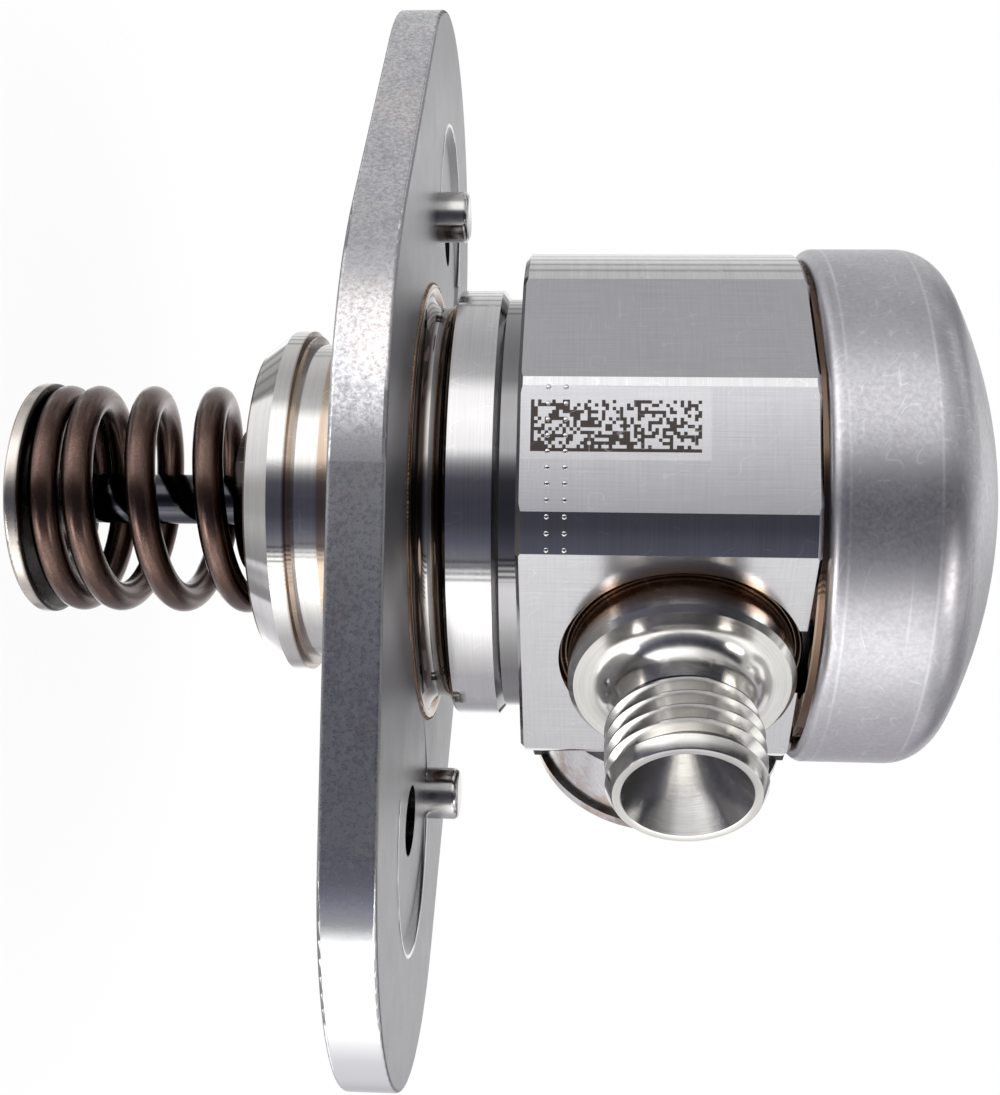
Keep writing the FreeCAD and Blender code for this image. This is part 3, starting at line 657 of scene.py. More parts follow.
@dataclass(frozen=True)
class BlastedSteel:
    """Deep-drawn sheet with a mottled, lightly scuffed skin and, where asked, thin painted highlight lines.

    Args:
        name: The material's name.
        tone: Reflected colour.
        roughness: Mean roughness.
        scuff: Strength of the scuffs.
        highlight_lines: Places along the pump axis of thin bright lines, painted highlights where the fillets
            catch the light.
        stain: Colour of heat stains, or nothing.
    """

    name: str
    tone: Colour = (0.58, 0.57, 0.60)
    roughness: float = 0.32
    scuff: float = 0.8
    highlight_lines: tuple[float, ...] = ()
    stain: Colour | None = None

    def make(self) -> bpy.types.Material:
        """Build the material."""
        s = Surface(self.name)
        fine = s.noise(s.place, 3600.0, 5.0, 0.75)
        pit = s.smooth(s.noise(s.place, 2400.0, 4.0, 0.7), 0.30, 0.70)
        cloud = s.noise(s.place, 170.0, 4.0, 0.6)
        shade = s.math("ADD", s.math("MULTIPLY", pit, 0.5), s.math("MULTIPLY", fine, 0.5))
        dull = tuple(part * 0.55 for part in self.tone)
        tone = s.mix(s.math("MULTIPLY", s.spread(shade, -0.1, 0.70), self.scuff, clamp=True), self.tone, dull)
        tone = s.mix(s.math("MULTIPLY", s.smooth(cloud, 0.46, 0.66), 0.25 * self.scuff), tone, dull)
        if self.stain is not None:
            tone = s.mix(s.math("MULTIPLY", s.smooth(cloud, 0.50, 0.64), 0.7), tone, self.stain)
        x, y, z = s.split(s.place)
        lean = s.math("MULTIPLY_ADD", z, 0.6, s.math("SUBTRACT", x, y))
        scratch = s.hairlines(s.math("DIVIDE", lean, 1.3 * MM), s.math("DIVIDE", z, 2.2 * MM), 0.035)
        tone = s.mix(s.math("MULTIPLY", scratch, 0.4 * self.scuff), tone, (0.85, 0.85, 0.86))
        # Painted highlights: thin bright lines at the given places along the axis, broken by the clouds.
        for line in self.highlight_lines:
            bright = s.band(z, line - 0.12 * MM, line + 0.12 * MM, 0.1 * MM)
            painted_highlight_field = s.math("MULTIPLY", bright, s.spread(cloud, -0.2, 0.7), clamp=True)
            tone = s.mix(painted_highlight_field, tone, (0.90, 0.90, 0.91))
        s.set(
            base_color=tone, metallic=1.0,
            roughness=s.spread(shade, self.roughness * 0.85, self.roughness * 1.35),
            normal=s.bump(shade, 0.0018 * MM, 0.5 * self.scuff),
        )
        return s.material


@dataclass(frozen=True)
class FlakeCoat:
    """Dark bronze coat with metal flakes under a clear skin.

    Args:
        name: The material's name.
        tone: Colour of the coat.
        flake_tone: Colour of the brightest flakes.
        shadow_tone: Colour of the coat's darker clouds.
        flake: Size of one flake.
        flake_share: How much of the flakes' colour shows.
        coat: Strength of the clear skin.
        coat_roughness: Roughness of the clear skin.
    """

    name: str
    tone: Colour = (0.088, 0.048, 0.037)
    flake_tone: Colour = (0.52, 0.34, 0.27)
    shadow_tone: Colour = (0.05, 0.032, 0.027)
    flake: float = 0.05 * MM
    flake_share: float = 0.38
    coat: float = 0.35
    coat_roughness: float = 0.14

    def make(self) -> bpy.types.Material:
        """Build the material."""
        s = Surface(self.name)
        cells = s.add("ShaderNodeTexVoronoi", feature="F1")
        s.feed(cells.inputs["Vector"], s.place)
        s.feed(cells.inputs["Scale"], 1.0 / self.flake)
        random = s.dot(cells.outputs["Color"], (0.6, 0.3, 0.1))
        bright = s.smooth(random, 0.55, 0.95)
        cloud = s.noise(s.place, 420.0, 3.0)
        tone = s.mix(s.math("MULTIPLY", bright, self.flake_share), self.tone, self.flake_tone)
        tone = s.mix(s.spread(cloud, 0.0, 0.45), tone, self.shadow_tone)
        peel = s.noise(s.place, 700.0, 2.0)
        normal = s.bump(random, 0.006 * MM, 0.45, s.bump(peel, 0.02 * MM, 0.25))
        s.set(
            base_color=tone, metallic=1.0, roughness=s.spread(cloud, 0.22, 0.30), normal=normal,
            coat_weight=self.coat, coat_roughness=self.coat_roughness,
        )
        return s.material


@dataclass(frozen=True)
class GroundMetal:
    """Metal with a fine even grain and slow clouds, with painted shade on its upward faces where asked.

    Args:
        name: The material's name.
        tone: Reflected colour.
        roughness: Mean roughness.
        grain: Features of the grain per metre.
        relief: Depth of the grain.
        upward_shade: Colour of painted shade on the faces that look up the pump axis, where there is any.
    """

    name: str
    tone: Colour
    roughness: float = 0.3
    grain: float = 6000.0
    relief: float = 0.002 * MM
    upward_shade: Colour | None = None

    def make(self) -> bpy.types.Material:
        """Build the material."""
        s = Surface(self.name)
        grain = s.noise(s.place, self.grain, 3.0, 0.6)
        cloud = s.noise(s.place, self.grain * 0.06, 3.0)
        dim = tuple(part * 0.62 for part in self.tone)
        tone = s.mix(s.spread(s.math("MULTIPLY", grain, cloud), 0.0, 1.2), self.tone, dim)
        # Painted shade: faces that look up the pump axis are painted dark, as under the spring.
        if self.upward_shade is not None:
            tone = s.mix(s.smooth(s.dot(s.facing, (0, 0, 1)), 0.3, 0.6), tone, self.upward_shade)
        s.set(
            base_color=tone, metallic=1.0,
            roughness=s.spread(cloud, self.roughness * 0.75, self.roughness * 1.25),
            normal=s.bump(grain, self.relief, 0.6),
        )
        return s.material


@dataclass(frozen=True)
class Moulding:
    """Moulded plastic or rubber with a fine eroded texture.

    Args:
        name: The material's name.
        tone: Surface colour.
        roughness: Mean roughness.
        grain: Features of the texture per metre.
    """

    name: str
    tone: Colour
    roughness: float = 0.45
    grain: float = 3500.0

    def make(self) -> bpy.types.Material:
        """Build the material."""
        s = Surface(self.name)
        grain = s.noise(s.place, self.grain, 3.0, 0.6)
        cloud = s.noise(s.place, 200.0, 3.0)
        pale = tuple(min(part * 1.7 + 0.01, 1.0) for part in self.tone)
        s.set(
            base_color=s.mix(s.spread(cloud, 0.0, 0.6), self.tone, pale),
            roughness=s.spread(grain, self.roughness * 0.8, self.roughness * 1.25),
            normal=s.bump(grain, 0.01 * MM, 0.5),
        )
        return s.material


# Mesh building


def piece(name: str, mesh: bpy.types.Mesh) -> bpy.types.Object:
    """Put a mesh into the scene as an object at the origin."""
    made = bpy.data.objects.new(name, mesh)
    bpy.context.scene.collection.objects.link(made)
    return made


def shade_by_angle(mesh: bpy.types.Mesh, angle: float) -> None:
    """Shade a mesh smooth and keep the edges above an angle sharp."""
    mesh.shade_smooth()
    mesh.set_sharp_from_angle(angle=math.radians(angle))


def arc(
    centre: tuple[float, float], radius: float, start: float, end: float, steps: int,
) -> list[tuple[float, float]]:
    """Give points of an arc in a turned profile.

    Args:
        centre: The arc's middle as radius and distance along the axis.
        radius: The arc's own radius.
        start: Angle of the first point, from the outward direction towards the axis direction.
        end: Angle of the last point.
        steps: Number of chords.

    Returns:
        The points, ends included.
    """
    points = []
    for index in range(steps + 1):
        turn = math.radians(start + (end - start) * index / steps)
        points.append((centre[0] + radius * math.cos(turn), centre[1] + radius * math.sin(turn)))
    return points


def turned_mesh(
    name: str, axis: TurningAxis, profile: Sequence[tuple[float, float]], spokes: int,
) -> bpy.types.Mesh:
    """Turn a closed profile about an axis.

    Args:
        name: The mesh's name.
        axis: The axis to turn about.
        profile: Points as radius and distance along the axis, all off the axis.
        spokes: Number of steps around.

    Returns:
        The closed mesh with its faces outwards.
    """
    shell = bmesh.new()
    rings = []
    for step in range(spokes):
        angle = 2 * math.pi * step / spokes
        rings.append([shell.verts.new(axis.place(radius, along, angle)) for radius, along in profile])
    count = len(profile)
    for step in range(spokes):
        here, there = rings[step], rings[(step + 1) % spokes]
        for index in range(count):
            after = (index + 1) % count
            shell.faces.new((here[index], there[index], there[after], here[after]))
    bmesh.ops.recalc_face_normals(shell, faces=shell.faces)
    mesh = bpy.data.meshes.new(name)
    shell.to_mesh(mesh)
    shell.free()
    shade_by_angle(mesh, SHARP_TURNED)
    return mesh


class GeometryRecipe:
    """A Geometry Nodes tree with named sizes that is run once and kept as a plain mesh."""

    def __init__(self, name: str) -> None:
        """Start a tree.

        Args:
            name: The tree's name.
        """
        self.tree = bpy.data.node_groups.new(name, "GeometryNodeTree")
        self.tree.interface.new_socket("Mesh", in_out="OUTPUT", socket_type="NodeSocketGeometry")
        self.sizes: dict[str, tuple[str, object]] = {}
        self.entry = self.tree.nodes.new("NodeGroupInput")
        self.exit = self.tree.nodes.new("NodeGroupOutput")

    def size(self, name: str, value: float | int | bpy.types.Material) -> Socket:
        """Add a named input and give its socket."""
        kinds = {float: "NodeSocketFloat", int: "NodeSocketInt", bpy.types.Material: "NodeSocketMaterial"}
        made = self.tree.interface.new_socket(name, in_out="INPUT", socket_type=kinds[type(value)])
        self.sizes[name] = (made.identifier, value)
        return self.entry.outputs[name]

    def add(
        self, kind: str, inputs: dict[str | int, object] | None = None, **settings: object,
    ) -> bpy.types.Node:
        """Add one node.

        Args:
            kind: The node's type.
            inputs: Values or sockets for its inputs, by name or place.
            settings: Properties to set on it.

        Returns:
            The new node.
        """
        node = self.tree.nodes.new(kind)
        for name, value in settings.items():
            setattr(node, name, value)
        for key, value in (inputs or {}).items():
            if isinstance(value, Socket):
                self.tree.links.new(value, node.inputs[key])
            else:
                node.inputs[key].default_value = value
        return node

    def math(self, operation: str, *values: object) -> Socket:
        """Add a Math node and give its result."""
        return self.add("ShaderNodeMath", dict(enumerate(values)), operation=operation).outputs[0]

    def realise(self, name: str, geometry: Socket, material: Socket) -> bpy.types.Object:
        """Close the tree, run it on a new object and keep the result as a plain mesh.

        Args:
            name: The piece's name.
            geometry: The tree's last geometry.
            material: The material input.

        Returns:
            The piece, with no modifier.
        """
        joined = self.add("GeometryNodeRealizeInstances", {0: geometry})
        dressed = self.add("GeometryNodeSetMaterial", {"Geometry": joined.outputs[0], "Material": material})
        self.tree.links.new(dressed.outputs[0], self.exit.inputs[0])
        made = piece(name, bpy.data.meshes.new(name))
        modifier = made.modifiers.new(self.tree.name, "NODES")
        modifier.node_group = self.tree
        for identifier, value in self.sizes.values():
            modifier[identifier] = value
        graph = bpy.context.evaluated_depsgraph_get()
        mesh = bpy.data.meshes.new_from_object(made.evaluated_get(graph))
        made.modifiers.remove(modifier)
        made.data = mesh
        mesh.name = name
        return made


def dress_node(node: str, material: bpy.types.Material) -> None:
    """Give a CAD node a finish."""
    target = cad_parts[node]
    for slot in target.material_slots:
        slot.material = material


def report(name: str, made: bpy.types.Object) -> None:
    """Log a finished piece."""
    log.info("%s: %s with %d faces", name, made.name, len(made.data.polygons))


# Sub-assemblies


class Region(Enum):
    """Parts of the machined body that have their own finish."""

    TURNED = "turned_body"
    NECK = "polished_neck"
    RELIEF = "collar_relief"
    SEAM = "burnt_seam"
    SHOULDER = "turned_shoulder"
    BORE = "port_bore"
    LABEL = "label_flat"
    UPPER = "upper_flat"
    INLET = "inlet_flat"
    PORT = "port_flat"
    SOLENOID = "solenoid_flat"


@dataclass
class Housing:
    """The machined body with its flats, collar and weld grooves."""

    flats: dict[Region, tuple[float, float]] = field(default_factory=lambda: {
        Region.LABEL: (-75.7, 24.67 * MM),
        Region.UPPER: (-105.4, 24.45 * MM),
        Region.INLET: (INLET_AZIMUTH, 24.3 * MM),
        Region.PORT: (PORT_AZIMUTH, 21.6 * MM),
        Region.SOLENOID: (SOLENOID_AZIMUTH, 21.6 * MM),
    })
    flange_top: float = 4.8 * MM
    weld_radius: float = 21.9 * MM
    collar_start: float = 7.75 * MM
    relief_start: float = 12.78 * MM
    body_start: float = 14.5 * MM
    body_end: float = 40.85 * MM
    body_radius: float = 25.3 * MM
    bore_radius: float = 11.3 * MM
    seat_floor: float = 20.4 * MM
    weld_spokes: int = 160
    outer_bead: tuple[float, float, float] = (10.98 * MM, 0.20 * MM, 0.21 * MM)
    inner_bead: tuple[float, float, float] = (10.52 * MM, 0.12 * MM, 0.24 * MM)
    dot_radius: float = 0.23 * MM
    dot_flatness: float = 0.42
    dot_columns: tuple[float, float] = (17.2 * MM, 1.55 * MM)
    dot_rows: int = 11
    dot_start: float = -88.2
    dot_step: float = 3.29
    beads: int = 330
    bead_radius: float = 0.15 * MM
    bead_offset: float = 0.42 * MM
    bead_lift: float = 0.05 * MM

    def build(self) -> None:
        """Dress the body, mark it and weld it to the flange and the outlet."""
        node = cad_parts["pump_body"]
        body = piece("machined_body", node.data.copy())
        finishes = self.finishes()
        body.data.materials.clear()
        for finish in finishes.values():
            body.data.materials.append(finish)
        order = list(finishes)
        for face in body.data.polygons:
            face.material_index = order.index(self.region_at(face.center, face.normal))
        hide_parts("pump_body")
        profile = self.port_weld()
        ring = piece("port_weld", turned_mesh("port_weld", OUTLET_AXIS, profile, self.weld_spokes))
        ring.data.materials.append(TurnedSteel(
            "port_weld_steel", axis=OUTLET_AXIS, tone=(0.15, 0.115, 0.095), roughness=0.10, streak=0.3,
        ).make())
        for made, slot in (
            (body, "machined_steel"), (ring, "weld_steel"), (self.dots(), "machined_steel"),
            (self.bead_ring(), "weld_steel"),
        ):
            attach(made, "housing")
            report("Housing", made)

    def finishes(self) -> dict[Region, bpy.types.Material]:
        """Build the body's finishes by region."""
        made = {
            Region.TURNED: TurnedSteel(Region.TURNED.value).make(),
            Region.NECK: TurnedSteel(
                Region.NECK.value, tone=(0.46, 0.445, 0.43), roughness=0.06, streak=0.1, scuff=0.0,
                tints=(Tint(self.flange_top + 0.3 * MM, 1.15 * MM, (0.065, 0.050, 0.042)),),
            ).make(),
            # Painted shade: the relief groove behind the collar is painted darker than the turned steel.
            Region.RELIEF: TurnedSteel(
                Region.RELIEF.value, tone=(0.27, 0.265, 0.27), roughness=0.07, streak=0.1, scuff=0.0,
            ).make(),
            Region.SEAM: TurnedSteel(
                Region.SEAM.value, tone=(0.24, 0.17, 0.13), roughness=0.07, streak=0.1, scuff=0.0,
            ).make(),
            Region.SHOULDER: TurnedSteel(
                Region.SHOULDER.value, tone=(0.70, 0.69, 0.67), roughness=0.12,
                tints=(Tint(-3.2 * MM, 1.7 * MM, (0.52, 0.41, 0.32)),),
            ).make(),
            Region.BORE: TurnedSteel(
                Region.BORE.value, axis=OUTLET_AXIS, tone=(0.40, 0.25, 0.16), roughness=0.10, streak=0.15,
            ).make(),
            Region.LABEL: MarkedFlat(Region.LABEL.value, azimuth=self.flats[Region.LABEL][0]).make(),
        }
        for region in (Region.UPPER, Region.INLET, Region.PORT, Region.SOLENOID):
            made[region] = MilledSteel(region.value, azimuth=self.flats[region][0], roughness=0.18).make()
        return made

    def region_at(self, centre: Vector, normal: Vector) -> Region:
        """Tell which region one face of the body belongs to.

        Args:
            centre: The face's middle.
            normal: The face's direction.

        Returns:
            The region.
        """
        if centre.z < self.flange_top - 0.1 * MM:
            return Region.SHOULDER
        if centre.z < self.collar_start:
            return Region.NECK
        if self.relief_start < centre.z < self.body_start - 0.05 * MM:
            return Region.RELIEF
        if centre.z > self.body_end - 0.02 * MM:
            return Region.SEAM
        for region, (azimuth, distance) in self.flats.items():
            turn = math.radians(azimuth)
            out = Vector((math.cos(turn), math.sin(turn), 0))
            if normal.dot(out) > 0.9999 and abs(centre.dot(out) - distance) < 0.02 * MM:
                return region
        from_axis = centre - OUTLET_AXIS.origin
        along = from_axis.dot(OUTLET_AXIS.direction)
        if along > 0 and (from_axis - OUTLET_AXIS.direction * along).length < self.bore_radius:
            return Region.BORE
        return Region.TURNED

    def port_weld(self) -> list[tuple[float, float]]:
        """Give the profile of the double weld bead round the outlet's flange."""
        below = self.seat_floor - 0.1 * MM
        points = []
        for middle, lift, radius in (self.inner_bead, self.outer_bead):
            points += arc((middle, self.seat_floor + lift), radius, 180, 0, 8)
        points = [(points[0][0], below), *points, (points[-1][0], below)]
        return points[::-1]

    def dots(self) -> bpy.types.Object:
        """Raise two columns of peened dots across the label flat and the land beside it."""
        recipe = GeometryRecipe("peen_dots")
        peened = TurnedSteel("peened_steel", roughness=0.16, streak=0.05, scuff=0.0)
        steel = recipe.size("Steel", peened.make())
        rows = recipe.size("Rows", self.dot_rows)
        radius = recipe.size("Dot radius", self.dot_radius)
        first = recipe.size("First column", self.dot_columns[0])
        step = recipe.size("Column step", self.dot_columns[1])
        start = recipe.size("Start", math.radians(self.dot_start))
        turn = recipe.size("Row turn", math.radians(self.dot_step))
        azimuth, distance = self.flats[Region.LABEL]
        points = recipe.add("GeometryNodeMeshLine", {"Count": recipe.math("MULTIPLY", rows, 2.0)})
        index = recipe.add("GeometryNodeInputIndex").outputs[0]
        row = recipe.math("MODULO", index, rows)
        column = recipe.math("FLOOR", recipe.math("DIVIDE", index, rows))
        angle = recipe.math("MULTIPLY_ADD", row, turn, start)
        lean = recipe.math("COSINE", recipe.math("SUBTRACT", angle, math.radians(azimuth)))
        reach = recipe.math("MINIMUM", recipe.math("DIVIDE", distance, lean), self.body_radius)
        spoke = recipe.add("ShaderNodeCombineXYZ", {
            0: recipe.math("COSINE", angle), 1: recipe.math("SINE", angle), 2: 0.0,
        }).outputs[0]
        height = recipe.math("MULTIPLY_ADD", column, step, first)
        lifted = recipe.add("ShaderNodeCombineXYZ", {0: 0.0, 1: 0.0, 2: height}).outputs[0]
        level = recipe.add("ShaderNodeVectorMath", {0: spoke, "Scale": reach}, operation="SCALE").outputs[0]
        place = recipe.add("ShaderNodeVectorMath", {0: level, 1: lifted}, operation="ADD").outputs[0]
        placed = recipe.add("GeometryNodeSetPosition", {"Geometry": points.outputs[0], "Position": place})
        ball = recipe.add("GeometryNodeMeshIcoSphere", {"Radius": radius, "Subdivisions": 3})
        upright = recipe.add("FunctionNodeAlignRotationToVector", {"Vector": spoke}, axis="Z")
        many = recipe.add("GeometryNodeInstanceOnPoints", {
            "Points": placed.outputs[0], "Instance": ball.outputs[0], "Rotation": upright.outputs[0],
            "Scale": (1.0, 1.0, self.dot_flatness),
        })
        made = recipe.realise("peen_dots", many.outputs[0], steel)
        shade_by_angle(made.data, SHARP_BEAD)
        return made

    def bead_ring(self) -> bpy.types.Object:
        """Lay the fine ripple of the weld between the body and the flange."""
        recipe = GeometryRecipe("weld_ripple")
        steel = recipe.size("Steel", GroundMetal(
            "weld_ripple_brown", tone=(0.26, 0.16, 0.10), roughness=0.2,
        ).make())
        count = recipe.size("Beads", self.beads)
        radius = recipe.size("Ring radius", self.weld_radius + self.bead_offset)
        size = recipe.size("Bead radius", self.bead_radius)
        ring = recipe.add("GeometryNodeMeshCircle", {"Vertices": count, "Radius": radius})
        lift = recipe.add("GeometryNodeSetPosition", {
            "Geometry": ring.outputs[0], "Offset": (0.0, 0.0, self.flange_top + self.bead_lift),
        })
        ball = recipe.add("GeometryNodeMeshIcoSphere", {"Radius": size, "Subdivisions": 2})
        uneven = recipe.add("FunctionNodeRandomValue", {2: 0.75, 3: 1.25, "Seed": 7}, data_type="FLOAT")
        many = recipe.add("GeometryNodeInstanceOnPoints", {
            "Points": lift.outputs[0], "Instance": ball.outputs[0], "Scale": uneven.outputs[1],
        })
        made = recipe.realise("weld_ripple", many.outputs[0], steel)
        shade_by_angle(made.data, SHARP_BEAD)
        return made


@dataclass
class ReturnSpring:
    """The coil spring whose pitch opens and closes along its length."""

    wire_radius: float = 1.5 * MM
    mean_radius: float = 10.3 * MM
    foot: float = -34.6 * MM
    seat: float = -7.8 * MM
    inset: float = 0.4 * MM
    closed_pitch: float = 3.05 * MM
    closed_low: float = 1.1
    blend_low: float = 0.8
    active: float = 2.0
    blend_high: float = 0.5
    closed_high: float = 0.9
    start_azimuth: float = 115.6
    stroke: float = 4.5 * MM
    points: int = 640
    sides: int = 28

    def turns(self) -> float:
        """Give the number of turns."""
        return self.closed_low + self.blend_low + self.active + self.blend_high + self.closed_high

    def active_pitch(self) -> float:
        """Give the pitch of the open turns that makes the length come out right."""
        rise = self.seat - self.foot - 2 * self.inset
        blends = (self.blend_low + self.blend_high) / 2
        closed = self.closed_pitch * (self.closed_low + self.closed_high + blends)
        return (rise - closed) / (self.active + blends)

    def build(self) -> None:
        """Coil the wire, grind its ends and let it ride on the plunger."""
        recipe = GeometryRecipe("spring_coil")
        material = recipe.size("Coat", FlakeCoat("bronze_flake_coat").make())
        wire = recipe.size("Wire radius", self.wire_radius)
        mean = recipe.size("Mean radius", self.mean_radius)
        foot = recipe.size("Foot", self.foot)
        seat = recipe.size("Seat", self.seat)
        turns = recipe.size("Turns", self.turns())
        closed = recipe.size("Closed pitch", self.closed_pitch)
        active = recipe.size("Active pitch", self.active_pitch())
        line = recipe.add("GeometryNodeCurvePrimitiveLine")
        fine = recipe.add("GeometryNodeResampleCurve", {"Curve": line.outputs[0], "Count": self.points})
        turn = recipe.math("MULTIPLY", recipe.add("GeometryNodeSplineParameter").outputs["Factor"], turns)
        opening = self.ramp_area(recipe, turn, self.closed_low, self.blend_low)
        last_open = self.closed_low + self.blend_low + self.active
        closing = self.ramp_area(recipe, turn, last_open, self.blend_high)
        opened = recipe.math("SUBTRACT", opening, closing)
        gain = recipe.math("MULTIPLY", recipe.math("SUBTRACT", active, closed), opened)
        climb = recipe.math("MULTIPLY_ADD", turn, closed, gain)
        height = recipe.math("ADD", climb, recipe.math("ADD", foot, self.inset))
        angle = recipe.math("MULTIPLY_ADD", turn, 2 * math.pi, math.radians(self.start_azimuth))
        place = recipe.add("ShaderNodeCombineXYZ", {
            0: recipe.math("MULTIPLY", recipe.math("COSINE", angle), mean),
            1: recipe.math("MULTIPLY", recipe.math("SINE", angle), mean),
            2: height,
        })
        coil = recipe.add("GeometryNodeSetPosition", {
            "Geometry": fine.outputs[0], "Position": place.outputs[0],
        })
        section = recipe.add("GeometryNodeCurvePrimitiveCircle", {"Resolution": self.sides, "Radius": wire})
        swept = recipe.add("GeometryNodeCurveToMesh", {
            "Curve": coil.outputs[0], "Profile Curve": section.outputs[0], "Fill Caps": True,
        })
        parts = recipe.add("ShaderNodeSeparateXYZ", {0: recipe.add("GeometryNodeInputPosition").outputs[0]})
        level = recipe.math("MINIMUM", recipe.math("MAXIMUM", parts.outputs[2], foot), seat)
        ground = recipe.add("ShaderNodeCombineXYZ", {0: parts.outputs[0], 1: parts.outputs[1], 2: level})
        flat = recipe.add("GeometryNodeSetPosition", {
            "Geometry": swept.outputs[0], "Position": ground.outputs[0],
        })
        spring = recipe.realise("return_spring", flat.outputs[0], material)
        shade_by_angle(spring.data, 40)
        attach(spring, "plunger_unit")
        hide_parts("plunger_spring")
        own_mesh(spring)
        report("Return spring", spring)

    @staticmethod
    def ramp_area(recipe: GeometryRecipe, turn: Socket, start: float, width: float) -> Socket:
        """Give the area under a ramp that climbs from 0 to 1 and stays there.

        Args:
            recipe: The tree that is being built.
            turn: The turn that is reached.
            start: Turn where the ramp starts.
            width: Turns over which it climbs.

        Returns:
            The area up to the turn that is reached.
        """
        share = recipe.math("DIVIDE", recipe.math("SUBTRACT", turn, start), width)
        inside = recipe.math("MINIMUM", recipe.math("MAXIMUM", share, 0.0), 1.0)
        climbing = recipe.math("MULTIPLY", recipe.math("MULTIPLY", inside, inside), 0.5)
        beyond = recipe.math("MAXIMUM", recipe.math("SUBTRACT", share, 1.0), 0.0)
        return recipe.math("MULTIPLY", recipe.math("ADD", climbing, beyond), width)


